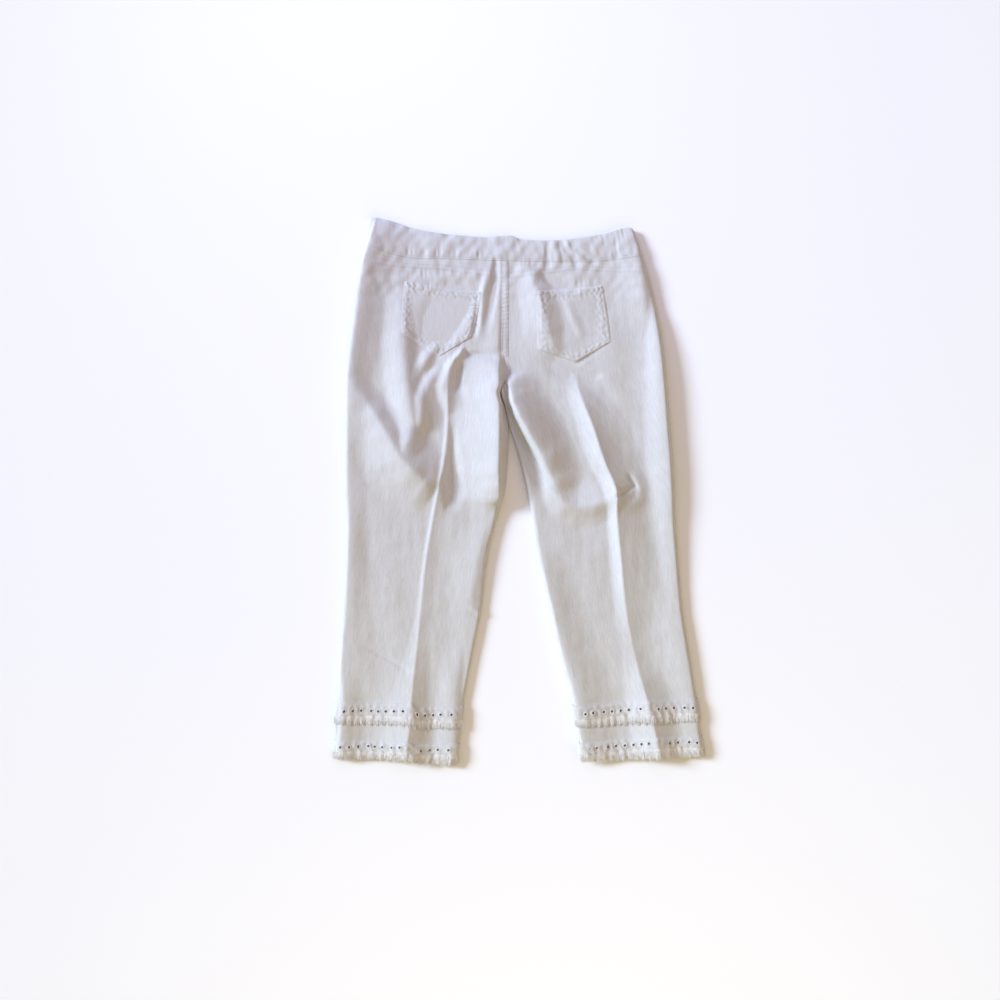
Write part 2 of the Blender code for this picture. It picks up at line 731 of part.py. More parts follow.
def main():
    for old in list(bpy.data.objects):
        bpy.data.objects.remove(old)
    make_back_band()
    make_front_band()
    for side in ("left", "right"):
        make_body(side)
        make_pocket(side)
        for level, tier in (("upper", UPPER_TIER), ("lower", LOWER_TIER)):
            make_tier(level, side, tier)
            make_fringe(level, side, tier)


main()
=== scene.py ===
import math
import random

import bpy
import numpy as np
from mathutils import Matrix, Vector
from mathutils.bvhtree import BVHTree


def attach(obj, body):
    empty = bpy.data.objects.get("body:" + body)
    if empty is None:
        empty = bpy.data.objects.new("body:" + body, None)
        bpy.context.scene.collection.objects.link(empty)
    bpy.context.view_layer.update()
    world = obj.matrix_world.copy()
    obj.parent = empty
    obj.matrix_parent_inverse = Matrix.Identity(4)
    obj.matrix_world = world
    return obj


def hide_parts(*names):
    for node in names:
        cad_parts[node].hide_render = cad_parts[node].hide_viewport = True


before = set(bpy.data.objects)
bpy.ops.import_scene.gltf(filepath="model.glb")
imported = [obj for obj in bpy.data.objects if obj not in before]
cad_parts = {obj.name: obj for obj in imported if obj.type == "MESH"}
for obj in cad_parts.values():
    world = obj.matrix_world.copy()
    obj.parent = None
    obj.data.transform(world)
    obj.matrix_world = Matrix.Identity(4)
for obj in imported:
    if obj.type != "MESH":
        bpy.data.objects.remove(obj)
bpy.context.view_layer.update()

# Capri pants in white stretch denim, lying on their front with the waist towards +Y.
# Shapes are worked out in millimetres and turned into metres when a mesh is made.
mm = 0.001

# What all the cloth shares
cloth = {
    "wall": 1.2,            # legs and yokes
    "bandWall": 2.0,        # waistband, elastic inside
    "trimWall": 1.0,        # pockets and tiers
    "gap": 0.3,             # between two pieces at a seam
    "seamHeight": 4.0,      # side seams and inseams above the floor
    "grid": 2.5,            # size of a cell in the upper layer
    "frontGrid": 5.0,       # and in the layer that lies on the floor
    "crisp": 0.3,           # width of the narrow cell along a cut edge
    "puff": 24,             # how far in from a folded edge the cloth stands proud
    "calm": 30,             # and how far in it is smoother than elsewhere
    "leastRise": 1.5,       # of the upper layer over the height of the seams
    "edgeAngles": (0, 14, 28, 42, 56, 70, 80),
}
waistSeam, yokeSeam, panelEnd = 0, 20, 806      # places down the leg
forkStart, forkLength, legsPart = 200, 35, 280
tierRoom = {"from": 715, "over": 18}            # where the layer below makes room for the tiers


def makeRows(columns, values):
    names = columns.split()
    return [dict(zip(names, value)) for value in values]


legColumns = "down outerX outerY creaseX creaseY innerX innerY dip jog"
legSections = {
    "left": makeRows(legColumns, [
        (0, -260, 419, -137, 394, -20, 390, 9, 0),
        (20, -269, 387, -132, 375, -20, 359, 2, 0),
        (100, -284, 307, -121, 294, -20, 291, 0, 0),
        (158, -292, 249, -116, 237, -20, 228, 0, 0),
        (220, -294, 181, -119, 170, -30, 171, 0, 0),
        (280, -294, 114, -120, 114, -17, 115, 0, 0),
        (340, -294, 52, -126, 54, -18, 52, 0, 0),
        (400, -293, -7, -135, 5, -25, -7, 0, 0),
        (440, -291, -47, -145, -47, -37, -47, 0, 0),
        (505, -293, -113, -156, -113, -52, -113, 0, 0),
        (590, -296, -197, -165, -200, -62, -195, 0, 0),
        (675, -301, -281, -173, -281, -79, -281, 0, 1),
        (735, -305, -350, -180, -350, -93, -351, 0, 6),
        (760, -309, -375, -181, -376, -95, -376, 0, 6),
        (777, -310, -393, -183, -394, -96, -395, 0, 6),
        (800, -309, -414, -186, -415, -100, -415, 0, 5),
        (822, -312, -434, -187, -435, -102, -436, 0, 5),
        (840, -314, -449, -184, -451, -105, -457, 0, 5),
    ]),
    "right": makeRows(legColumns, [
        (0, 209, 398, 98, 388, -20, 390, 2, 0),
        (20, 218, 369, 97, 375, -20, 359, 1, 0),
        (100, 233, 307, 91, 294, -20, 291, 0, 0),
        (158, 243, 249, 90, 237, -20, 228, 0, 0),
        (220, 250, 181, 101, 171, -30, 171, 0, 0),
        (280, 255, 114, 122, 114, -17, 115, 0, 0),
        (340, 260, 52, 142, 53, 1, 52, 0, 0),
        (400, 263, -7, 162, 3, 16, -7, 0, 0),
        (440, 264, -47, 164, -47, 23, -47, 0, 0),
        (505, 269, -113, 171, -113, 33, -113, 0, 0),
        (590, 276, -197, 180, -198, 52, -197, 0, 0),
        (675, 289, -281, 197, -281, 71, -281, 0, 0),
        (735, 299, -344, 214, -345, 91, -355, 0, 0),
        (760, 304, -370, 220, -371, 94, -381, 0, 0),
        (777, 305, -388, 225, -391, 96, -397, 0, 0),
        (800, 307, -407, 229, -407, 102, -418, 0, 0),
        (822, 311, -428, 234, -428, 104, -439, 0, 0),
        (840, 314, -444, 236, -448, 108, -454, 0, 0),
    ]),
}
centreSeam = makeRows("down x y", [
    (0, -20, 390), (20, -20, 359), (100, -20, 291), (158, -20, 228),
    (190, -14, 202), (220, -30, 171), (250, -23, 143), (280, -17, 115),
])
clothHeights = makeRows("down outer middle inner radius", [
    (-45, 10, 7, 7, 8), (0, 12, 8, 7, 9), (100, 13, 8, 6, 9), (158, 13, 8, 7, 9),
    (220, 13, 8, 11, 9), (340, 12, 9, 12, 9), (440, 11, 9, 11, 8), (590, 10, 8, 9, 7),
    (735, 9, 7.5, 8, 5), (840, 8, 7, 7.5, 5),
])

# The pressed crease: how high it stands, and how far its two flanks reach, in the left leg on
# the outer and the inner side, in the right leg the other way round
creasePower = 1.6       # 1 is straight flanks, more is hollow ones
pressedCrease = {
    "left": makeRows("down height before after", [
        (140, 0, 8, 16), (200, 1.6, 6, 14), (280, 2.8, 6, 16), (400, 3.2, 6, 24),
        (560, 2.6, 8, 22), (640, 3.4, 16, 24), (700, 5, 32, 28), (760, 7, 50, 34), (840, 7, 50, 36),
    ]),
    "right": makeRows("down height before after", [
        (180, 0, 16, 34), (215, 5.5, 22, 46), (250, 12, 26, 58), (290, 17, 28, 66),
        (345, 19.5, 28, 70), (395, 17, 22, 70), (430, 13.5, 17, 72), (500, 11.2, 19, 72),
        (590, 6.5, 21, 46), (650, 3.2, 22, 36), (695, 6, 30, 38), (735, 9, 40, 48), (840, 9.5, 42, 52),
    ]),
}

# Folds: the crest's place and height, and the reach of its flanks. "before" is the -X side,
# or the lower side of a fold that runs across; "after" is the +X or the upper side. sharp is
# 0 for a soft swell and 1 for straight flanks, and crest is how round the top of it is.
foldBlend = 6.0         # how gently one stretch of a crest goes over into the next


def makeFold(sharp, crest, rows):
    return {"sharp": sharp, "crest": crest, "rows": makeRows("x y height before after", rows)}


folds = {
    "leftThigh": makeFold(0.5, 5, [
        (-203, 345, 0, 22, 18), (-197, 300, 4, 32, 22), (-195, 240, 9, 40, 26),
        (-190, 190, 13, 42, 30), (-184, 152, 14.5, 40, 34), (-177, 116, 12.5, 30, 34),
        (-180, 90, 8, 20, 26), (-187, 62, 0, 10, 16)]),
    "leftKneeDiagonal": makeFold(0.8, 4, [
        (-284, 190, 0, 24, 24), (-254, 152, 10, 40, 30), (-236, 124, 15, 54, 36),
        (-218, 94, 19, 66, 46), (-200, 62, 21, 74, 60), (-178, 38, 20.5, 72, 64),
        (-156, 17, 16, 62, 56), (-138, 4, 6, 46, 34)]),
    "leftPocketTip": makeFold(0.7, 3, [
        (-92, 240, 0, 10, 12), (-114, 214, 7, 13, 20), (-121, 196, 8, 14, 24),
        (-126, 178, 7.5, 16, 26), (-122, 160, 6, 18, 26), (-112, 134, 0, 16, 20)]),
    "leftInnerThigh": makeFold(0.8, 6, [
        (-34, 236, 0, 40, 8), (-35, 204, 13, 70, 12), (-33, 156, 22, 84, 13),
        (-33, 89, 27, 84, 13), (-34, 39, 26, 74, 13), (-33, 12, 22, 66, 13),
        (-32, -8, 14, 54, 12), (-32, -20, 0, 40, 12)]),
    "rightInnerThigh": makeFold(0.5, 5, [
        (-18, 200, 0, 6, 48), (-15, 180, 11, 9, 56), (-9, 152, 20, 12, 62), (2, 128, 23, 14, 64),
        (15, 106, 23, 15, 64), (41, 60, 19, 18, 60), (58, 22, 13, 24, 56), (68, -4, 9.5, 32, 50),
        (80, -18, 8.5, 34, 50), (98, -24, 8, 38, 50), (122, -22, 8, 38, 52),
        (147, -14, 7, 32, 50), (162, -3, 4.5, 20, 40), (171, 6, 0, 12, 24)]),
    "kneeLip": makeFold(0.6, 1.5, [
        (66, -2, 0, 8, 7), (74, -14, 1.1, 13, 9), (84, -20, 1.6, 17, 11), (98, -24, 1.8, 19, 12),
        (122, -22, 1.8, 19, 12), (147, -13, 1.6, 17, 11), (162, -2, 0, 9, 8)]),
    "rightShelf": makeFold(0.5, 3, [
        (-27, 156, 0, 8, 6), (-18, 132, -6.5, 12, 8), (-7, 110, -9, 15, 9), (6, 87, -10, 18, 10),
        (20, 61, -9, 22, 12), (34, 37, -5.5, 24, 14), (48, 10, 0, 24, 16)]),
    "rightInnerFold": makeFold(0.6, 2, [
        (-24, 150, 0, 5, 10), (-16, 120, 5, 5, 16), (-8, 92, 7.5, 5, 24), (0, 60, 7.5, 6, 28),
        (8, 30, 5, 7, 26), (17, -4, 0, 9, 20)]),
    "besideCentreSeam": makeFold(0.7, 3, [
        (4, 394, 0, 12, 12), (10, 378, 3, 18, 16), (21, 364, 6, 28, 22), (31, 336, 8, 36, 28),
        (40, 308, 8.4, 42, 32), (47, 278, 7.6, 44, 32), (55, 252, 5, 36, 26), (66, 226, 0, 22, 18)]),
    "rightHip": makeFold(0.4, 5, [
        (190, 404, 0, 30, 14), (201, 370, 3.2, 44, 15), (206, 330, 3.8, 50, 16),
        (205, 292, 2.4, 46, 16), (200, 262, 0, 30, 14)]),
    # the smaller ones
    "leftSideSwell": makeFold(0.35, 5, [
        (-236, 462, 0, 8, 50), (-242, 440, 7, 8, 84), (-250, 416, 9, 8, 80), (-258, 388, 8, 10, 68),
        (-266, 330, 6, 12, 54), (-276, 250, 7, 12, 52),
        (-284, 190, 6.5, 12, 46), (-286, 130, 4, 10, 36), (-287, 60, 2.4, 10, 34),
        (-287, 0, 0, 8, 30)]),
    "tipLeft": makeFold(0.6, 3.5, [
        (-129, 250, 0, 10, 8), (-142, 243, 3.4, 14, 11), (-153, 228, 5, 17, 14),
        (-163, 212, 4.8, 17, 16), (-167, 198, 3, 14, 16), (-168, 180, 0, 10, 12)]),
    "tipArc": makeFold(0.6, 4, [
        (-126, 210, 0, 10, 9), (-137, 201, 3.4, 13, 14), (-149, 189, 6, 16, 24),
        (-156, 175, 7.5, 17, 30), (-160, 158, 8, 17, 34), (-160, 131, 6.5, 15, 36),
        (-158, 100, 0, 12, 30)]),
    "pinchLine": makeFold(0.8, 1.5, [
        (-93, 242, 0, 6, 6), (-86, 234, -3.4, 9, 5), (-66, 233, -3.2, 9, 6),
        (-46, 229, -2.0, 8, 6), (-36, 225, 0, 6, 6)]),
    "pinchRidge": makeFold(0.8, 1.5, [
        (-92, 244, 0, 6, 6), (-95, 239, 4.4, 7, 8), (-102, 230, 4.2, 8, 12), (-108, 220, 2, 8, 14),
        (-110, 204, 0, 8, 10)]),
    "tipValley": makeFold(0.5, 3, [
        (-100, 232, 0, 7, 7), (-102, 218, -4, 9, 12), (-104, 200, -5, 10, 14),
        (-106, 184, -3, 10, 14), (-102, 168, 0, 8, 12)]),
    "waistRidge": makeFold(0.7, 2, [
        (-38, 400, 0, 7, 7), (-44, 386, 1.8, 10, 12), (-52, 366, 3.2, 11, 15), (-58, 350, 3.6, 8, 13),
        (-62, 332, 3, 7, 12), (-66, 290, 2, 8, 14), (-70, 262, 0, 8, 14)]),
    "seamLeftRidge": makeFold(0.5, 3, [
        (-34, 404, 0, 6, 6), (-33, 386, 1.6, 8, 8), (-34, 340, 1.4, 12, 8),
        (-35, 280, 3, 24, 10), (-36, 246, 3.6, 28, 10), (-36, 226, 0, 18, 9)]),
    "seamLeftValley": makeFold(0.4, 3, [
        (-38, 400, 0, 7, 7), (-38, 380, -3.4, 8, 8), (-40, 352, -4, 9, 9), (-44, 326, -2.4, 10, 9),
        (-50, 296, -1.6, 12, 10), (-56, 262, 0, 12, 10)]),
    "rightPocketFold": makeFold(0.6, 2.5, [
        (78, 330, 0, 8, 9), (84, 312, 1.4, 9, 12), (92, 292, 2, 10, 14),
        (100, 274, 1.4, 10, 14), (108, 256, 0, 8, 12)]),
    "rightYokeHollow": makeFold(0.3, 5, [
        (34, 376, 0, 10, 14), (52, 360, -3.4, 14, 18), (72, 350, -3.6, 16, 20),
        (92, 346, -2, 14, 18), (112, 350, 0, 12, 14)]),
    "rightSeatValley": makeFold(0.2, 6, [
        (36, 238, 0, 22, 22), (70, 212, -3, 26, 26), (104, 192, -3.4, 26, 28),
        (140, 168, -2, 22, 26), (166, 140, 0, 20, 20)]),
    "rightDent": makeFold(0.6, 2.5, [
        (92, 206, 0, 6, 6), (104, 201, -2.6, 8, 10), (122, 196, -3, 8, 11), (142, 199, 0, 6, 6)]),
    "rightOuterSwell": makeFold(0.5, 5, [
        (224, 312, 0, 14, 12), (232, 280, 4, 20, 12), (238, 240, 6.5, 28, 12), (244, 180, 8, 36, 12),
        (249, 114, 8.5, 42, 12), (254, 52, 8.5, 46, 12), (257, -7, 7.5, 46, 12), (259, -60, 5, 40, 12),
        (264, -130, 2.4, 30, 12), (270, -200, 0, 20, 12)]),
    "kneePinchA": makeFold(0.9, 1, [
        (162, -8, 0, 5, 5), (168, -4, -4.4, 6, 7), (180, 3, -4, 6, 7), (190, 9, -2.2, 5, 6),
        (196, 13, 0, 4, 4)]),
    "kneePinchB": makeFold(0.7, 1.5, [
        (183, 32, 0, 5, 5), (187, 24, -1.8, 5, 7), (192, 15, -1.8, 5, 6), (196, 8, 0, 4, 4)]),
    "kneeRing": makeFold(0.6, 2.5, [
        (190, 38, 0, 6, 9), (198, 26, 1.6, 8, 15), (204, 8, 2.4, 9, 20),
        (202, -8, 2, 9, 18), (190, -20, 1, 9, 14), (178, -26, 0, 7, 10)]),
    "leftHollow": makeFold(0.4, 4, [
        (-112, 124, 0, 5, 7), (-110, 90, -2.4, 8, 12), (-112, 50, -4.4, 11, 22),
        (-114, 10, -5.4, 13, 30), (-116, -14, -3.4, 12, 26), (-118, -32, 0, 8, 14)]),
    "leftKneeEnd": makeFold(0.8, 2.5, [
        (-98, -4, 0, 8, 14), (-84, -9, 1.8, 12, 22), (-70, -14, 3, 15, 30), (-56, -17, 3.4, 17, 34),
        (-42, -18, 2.6, 18, 30), (-30, -14, 1, 12, 16)]),
    "leftInnerNotch": makeFold(0.4, 3, [
        (-60, -50, 0, 30, 14), (-67, -90, 2.6, 44, 18), (-74, -130, 3.6, 48, 20),
        (-80, -170, 3.2, 44, 20), (-86, -210, 0, 30, 16)]),
    "leftInnerPlait": makeFold(0.6, 2, [
        (-86, -190, 0, 6, 7), (-76, -195, 1.6, 7, 8), (-64, -203, 2.2, 7, 8), (-56, -208, 0, 6, 6)]),
    "leftPressLine": makeFold(0.8, 1.5, [
        (-258, -260, 0, 4, 5), (-240, -269, -1, 5, 7), (-212, -284, -1.6, 5, 8),
        (-190, -297, -1.4, 5, 7), (-180, -302, 0, 4, 5)]),
    "leftShinRidge": makeFold(0.3, 6, [
        (-172, -240, 0, 50, 30), (-178, -310, 3, 60, 40), (-181, -360, 5, 62, 44),
        (-184, -420, 5.5, 62, 44), (-185, -460, 5, 60, 44)]),
    "leftHemEdge": makeFold(0.4, 5, [
        (-292, -290, 0, 10, 28), (-292, -340, 3.5, 10, 38), (-296, -400, 5, 10, 44),
        (-300, -460, 4, 10, 44)]),
    "leftHemInner": makeFold(0.3, 6, [
        (-100, -250, 0, 24, 12), (-108, -310, 2.6, 30, 16), (-112, -380, 4, 34, 18),
        (-114, -450, 4, 34, 16)]),
    "leftEdgeSwell": makeFold(0.3, 5, [
        (-286, 20, 0, 8, 26), (-284, -40, 2.4, 8, 34), (-284, -110, 2.6, 8, 34),
        (-286, -180, 1.6, 8, 30), (-288, -240, 0, 8, 24)]),
    "rightEdgeRidge": makeFold(0.4, 5, [
        (34, -80, 0, 14, 24), (44, -130, 4, 18, 44), (58, -200, 6.5, 20, 56),
        (76, -262, 7, 20, 58), (94, -316, 7.5, 20, 60), (102, -360, 8, 20, 60),
        (112, -440, 8, 20, 58)]),
    "rightShinFlank": makeFold(0.3, 6, [
        (202, -284, 0, 30, 30), (210, -322, 3.2, 36, 52), (222, -380, 5, 44, 66),
        (236, -450, 5, 46, 60)]),
    "rightHemEdge": makeFold(0.3, 6, [
        (266, -150, 0, 30, 12), (272, -230, 2.4, 40, 14), (284, -310, 3, 40, 14),
        (296, -400, 3.4, 36, 12), (302, -450, 3, 34, 12)]),
    "pocketShade": makeFold(0.1, 12, [
        (-74, 366, 0, 30, 24), (-84, 338, -3, 52, 28), (-106, 306, -5.4, 64, 32),
        (-128, 272, -5, 62, 34), (-146, 244, -2.6, 46, 30), (-160, 222, 0, 30, 24)]),
    "pocketRightValley": makeFold(0.3, 4, [
        (-66, 332, 0, 8, 6), (-68, 310, -2.6, 9, 7), (-72, 280, -3, 9, 8), (-80, 252, 0, 8, 8)]),
    "pocketRightEdge": makeFold(0.8, 1, [
        (28, 242, 0, 4, 4), (40, 236, -1.4, 4, 5), (66, 227, -1.8, 4, 5), (97, 216, -1.8, 4, 5),
        (124, 233, -1, 4, 4), (152, 251, 0, 4, 4)]),
    "pocketLeftEdge": makeFold(0.8, 1, [
        (-200, 270, 0, 4, 4), (-184, 259, -1.6, 4, 5), (-158, 243, -1.6, 4, 5),
        (-136, 229, 0, 4, 4)]),
    # in the waistband
    "bandFoldA": makeFold(0.5, 2, [
        (49, 422, 0, 4, 4), (48, 408, -1.8, 6, 7), (48, 398, -2.6, 8, 9), (48, 388, -2.4, 9, 10),
        (48, 376, 0, 9, 10)]),
    "bandFoldB": makeFold(0.5, 2, [
        (74, 424, 0, 4, 4), (80, 411, -1.8, 6, 7), (87, 401, -2.6, 7, 9), (94, 389, -2.4, 8, 10),
        (99, 376, 0, 8, 10)]),
    "bandFoldC": makeFold(0.5, 2, [
        (97, 410, 0, 4, 4), (106, 401, -1.4, 6, 7), (114, 395, -1.8, 7, 8), (124, 387, -1.2, 7, 8),
        (132, 381, 0, 6, 7)]),
    "bandRidgeA": makeFold(0.4, 2.5, [
        (67, 384, 0, 7, 8), (66, 394, 2, 8, 9), (64, 406, 2.4, 8, 10), (61, 418, 1.6, 7, 8),
        (59, 430, 0, 6, 6)]),
    "bandRidgeB": makeFold(0.4, 2.5, [
        (92, 394, 0, 5, 6), (88, 402, 1.4, 6, 8), (83, 413, 1.8, 6, 9), (78, 427, 0, 5, 6)]),
    "bandLine": makeFold(0.7, 1.5, [
        (163, 388, 0, 4, 4), (164, 396, -1, 4, 4), (163, 420, -1, 4, 4), (162, 440, 0, 4, 4)]),
    "bandSwell": makeFold(0.2, 5, [
        (-96, 434, 0, 12, 12), (-104, 424, 1.2, 15, 15), (-118, 413, 1.2, 15, 15),
        (-130, 404, 0, 12, 12)]),
    "bandCentre": makeFold(0.2, 4, [
        (-56, 392, 0, 9, 10), (-46, 400, 1.1, 11, 12), (-28, 404, 1.5, 12, 14), (-14, 399, 1.2, 10, 12),
        (-4, 391, 0, 8, 10)]),
}

# Rows of small puckers where stitching draws the cloth in: the line they follow, how far they
# reach from it, how far apart they are and how high
puckers = makeRows("line reach pitch height seed", [
    ([(-200, 405), (-122, 403)], 6, 10, 0.55, 1),
    ([(-124, 402), (-46, 400)], 6, 12, 0.55, 2),
    ([(-186, 370), (-104, 371)], 7, 9.5, 0.6, 3),
    ([(-108, 368), (-40, 360)], 6, 11, 0.5, 4),
    ([(-186, 350), (-110, 350)], 5, 9.5, 0.65, 5),
    ([(84, 352), (140, 354)], 6, 10, 0.8, 6),
    ([(84, 339), (144, 341)], 4, 9, 0.6, 7),
    ([(-72, 336), (-76, 300), (-84, 268)], 9, 8, 0.8, 8),
    ([(-136, 258), (-84, 252)], 7, 9, 0.8, 9),
    ([(126, 428), (188, 440)], 14, 11, 0.45, 10),
    ([(132, 396), (198, 404)], 8, 11, 0.5, 11),
    ([(-4, 386), (44, 386)], 6, 9, 0.6, 12),
])

print("capri pants: sizes read")


def ease(t):
    t = np.clip(t, 0.0, 1.0)
    return t * t * (3 - 2 * t)


def readCurve(table, column, at, key="down"):
    # A smooth curve through a table's rows, held at its ends
    keys = np.array([row[key] for row in table], float)
    values = np.array([row[column] for row in table], float)
    low = np.maximum(np.arange(len(keys)) - 1, 0)
    high = np.minimum(np.arange(len(keys)) + 1, len(keys) - 1)
    slopes = (values[high] - values[low]) / (keys[high] - keys[low])
    at = np.clip(at, keys[0], keys[-1])
    i = np.clip(np.searchsorted(keys, at) - 1, 0, len(keys) - 2)
    span = keys[i + 1] - keys[i]
    t = (at - keys[i]) / span
    return (values[i] * (2 * t**3 - 3 * t**2 + 1) + slopes[i] * span * (t**3 - 2 * t**2 + t)
            + values[i + 1] * (3 * t**2 - 2 * t**3) + slopes[i + 1] * span * (t**3 - t**2))


def outward(side):
    return -1 if side == "left" else 1


def innerEdge(side, downs):
    below = [row for row in legSections[side] if row["down"] >= legsPart]
    joined = downs <= legsPart
    x = np.where(joined, readCurve(centreSeam, "x", downs), readCurve(below, "innerX", downs))
    y = np.where(joined, readCurve(centreSeam, "y", downs), readCurve(below, "innerY", downs))
    return np.stack([x + outward(side) * cloth["gap"] / 2, y], 1)


def fork(downs):
    # 0 where both sides are one body, 1 where each leg has an inner edge of its own
    return ease((downs - forkStart) / forkLength)


halfWidths = {"left": (152, 105), "right": (108, 138)}      # widest: edge to crease to edge


def legColumnsOf(side, step):
    # Round the outer edge, over to the crease, over to the inner edge and round that
    toCrease, toInner = (round(width / step) for width in halfWidths[side])
    columns = [("outerEdge", angle) for angle in cloth["edgeAngles"]]
    columns += [("outerHalf", i / toCrease) for i in range(toCrease + 1)]
    columns += [("innerHalf", i / toInner) for i in range(1, toInner + 1)]
    columns += [("innerEdge", angle) for angle in reversed(cloth["edgeAngles"])]
    return columns


def legPlan(side, downs, columns, radius):
    # Seen from above: where each column crosses each section, and how far it is from the edges
    rows = legSections[side]
    outer, middle = (np.stack([readCurve(rows, part + "X", downs),
                               readCurve(rows, part + "Y", downs)], 1)
                     for part in ("outer", "crease"))
    inner = innerEdge(side, downs)
    outerWidth = np.linalg.norm(middle - outer, axis=1)
    innerWidth = np.linalg.norm(inner - middle, axis=1)
    dip, jog = readCurve(rows, "dip", downs), readCurve(rows, "jog", downs)
    plan = {name: np.zeros((len(downs), len(columns)))
            for name in ("x", "y", "fromOuter", "fromInner", "fromCrease", "outerRise", "innerRise")}
    for c, (kind, value) in enumerate(columns):
        outerRise = innerRise = 1.0
        if kind == "outerEdge":
            inFrom = radius * (1 - math.cos(math.radians(value)))
            outerRise = math.sin(math.radians(value))
        elif kind == "outerHalf":
            inFrom = radius + value * (outerWidth - radius)
        elif kind == "innerHalf":
            inFrom = outerWidth + value * (innerWidth - radius)
        elif kind == "innerEdge":
            inFrom = outerWidth + innerWidth - radius * (1 - math.cos(math.radians(value)))
            innerRise = math.sin(math.radians(value))
        else:
            inFrom = np.full(len(downs), float(value))      # so many millimetres from the outer edge
            outerRise = np.sqrt(np.clip(1 - np.clip(1 - inFrom / radius, 0, 1)**2, 0, 1))
        past = inFrom - outerWidth
        f = np.clip(inFrom / outerWidth, 0, 1)
        g = np.clip(past / innerWidth, 0, 1)
        point = np.where((past <= 0)[:, None], outer + f[:, None] * (middle - outer),
                         middle + g[:, None] * (inner - middle))
        lower = np.where(past <= 0, dip * np.sin(np.pi * f), jog * ease(past / 14))
        plan["x"][:, c], plan["y"][:, c] = point[:, 0], point[:, 1] - lower
        plan["fromOuter"][:, c] = inFrom
        plan["fromInner"][:, c] = outerWidth + innerWidth - inFrom
        plan["fromCrease"][:, c] = past
        plan["outerRise"][:, c], plan["innerRise"][:, c] = outerRise, innerRise
    return plan


def foldHeight(fold, x, y):
    # The nearest stretches of the crest are blended, so bends in it leave no marks
    distances, sides, values = [], [], {"before": [], "after": [], "height": []}
    for low, high in zip(fold["rows"], fold["rows"][1:]):
        runX, runY = high["x"] - low["x"], high["y"] - low["y"]
        t = np.clip(((x - low["x"]) * runX + (y - low["y"]) * runY) / (runX**2 + runY**2), 0, 1)
        offX, offY = x - low["x"] - t * runX, y - low["y"] - t * runY
        distances.append(np.hypot(offX, offY))
        sides.append(runX * offY - runY * offX > 0)
        for key, made in values.items():
            made.append(low[key] + t * (high[key] - low[key]))
    distances = np.array(distances)
    nearest = distances.min(axis=0)
    closest = distances.argmin(axis=0)[None]
    weights = np.exp((nearest - distances) / foldBlend)
    weights = weights / weights.sum(axis=0)
    before, after, height = ((weights * np.array(made)).sum(axis=0) for made in values.values())
    reach = np.where(np.take_along_axis(np.array(sides), closest, 0)[0], after, before)
    crest = fold["crest"]
    t = np.clip((np.hypot(nearest, crest) - crest) / (np.hypot(reach, crest) - crest), 0, 1)
    return height * ((1 - fold["sharp"]) * (1 - ease(t)) + fold["sharp"] * (1 - t)**1.5)


def puckerHeight(x, y):
    total = np.zeros(np.shape(x))
    for row in puckers:
        nearest = np.full(np.shape(x), np.inf)
        along, past = np.zeros(np.shape(x)), 0.0
        for low, high in zip(row["line"], row["line"][1:]):
            runX, runY = high[0] - low[0], high[1] - low[1]
            length = math.hypot(runX, runY)
            t = np.clip(((x - low[0]) * runX + (y - low[1]) * runY) / length**2, 0, 1)
            away = np.hypot(x - low[0] - t * runX, y - low[1] - t * runY)
            along = np.where(away < nearest, past + t * length, along)
            nearest = np.minimum(nearest, away)
            past += length
        phase = row["seed"] * 2.4
        turns = 2 * np.pi * along / row["pitch"] + 1.9 * np.sin(along / row["pitch"] * 1.7 + phase)
        uneven = 0.6 + 0.4 * np.sin(along / row["pitch"] * 2.3 + 2 * phase)
        ends = np.clip(np.minimum(along, past - along) / row["pitch"], 0, 1)
        lean = np.exp(-(nearest / row["reach"]) ** 2)
        total = total + row["height"] * uneven * ends * lean * np.cos(turns + phase)
    return total


def ripple(x, y, size, stretch, seed, waves=18):
    # Uneven soft waves, about size apart across the leg and stretch times longer along it
    draw = np.random.default_rng(seed)
    total = np.zeros(np.shape(x))
    for _ in range(waves):
        turn = draw.uniform(0, 2 * np.pi)
        length = size * draw.uniform(0.7, 1.5)
        total += np.cos(2 * np.pi / length * (x * np.cos(turn) + y * np.sin(turn) / stretch)
                        + draw.uniform(0, 2 * np.pi))
    return total / math.sqrt(waves / 2)


# Unevenness of the cloth between its folds
crumple = {
    "soft": {"height": 0.45, "size": 70, "stretch": 2.4, "seed": 11},
    "long": {"height": 0.07, "size": 16, "stretch": 6.0, "seed": 12},
    "fine": {"height": 0.02, "size": 8, "stretch": 1.6, "seed": 13},
    "crossing": {"height": 0.10, "size": 50, "stretch": 0.6, "seed": 14},
}
waistCrumple = {"height": 0.32, "size": 19, "stretch": 1.2, "seed": 15, "from": 300, "over": 70}


def crumpleHeight(x, y):
    w = waistCrumple
    drawn = ease((y - w["from"]) / w["over"])           # the elastic draws the cloth in up here
    return (sum(c["height"] * ripple(x, y, c["size"], c["stretch"], c["seed"])
                for c in crumple.values())
            + w["height"] * drawn * ripple(x, y, w["size"], w["stretch"], w["seed"]))


def foldsAt(x, y):
    return puckerHeight(x, y) + sum(foldHeight(fold, x, y) for fold in folds.values())


# Gathers made by the elastic: they start in the waistband and run out in the yoke
gathers = {"count": 56, "seed": 21, "height": 1.2, "width": (2.6, 6.5), "intoYoke": 24}
gatherDepth = makeRows("along share", [
    (0.0, 0.1), (0.16, 0.15), (0.3, 0.3), (0.42, 0.4), (0.5, 0.45), (0.58, 0.4),
    (0.66, 0.4), (0.78, 0.55), (0.86, 0.6), (0.94, 0.5), (1.0, 0.2),
])
bandLength = 472.0
seamLeft, seamWidth = -260, 469         # the waist seam, straight across


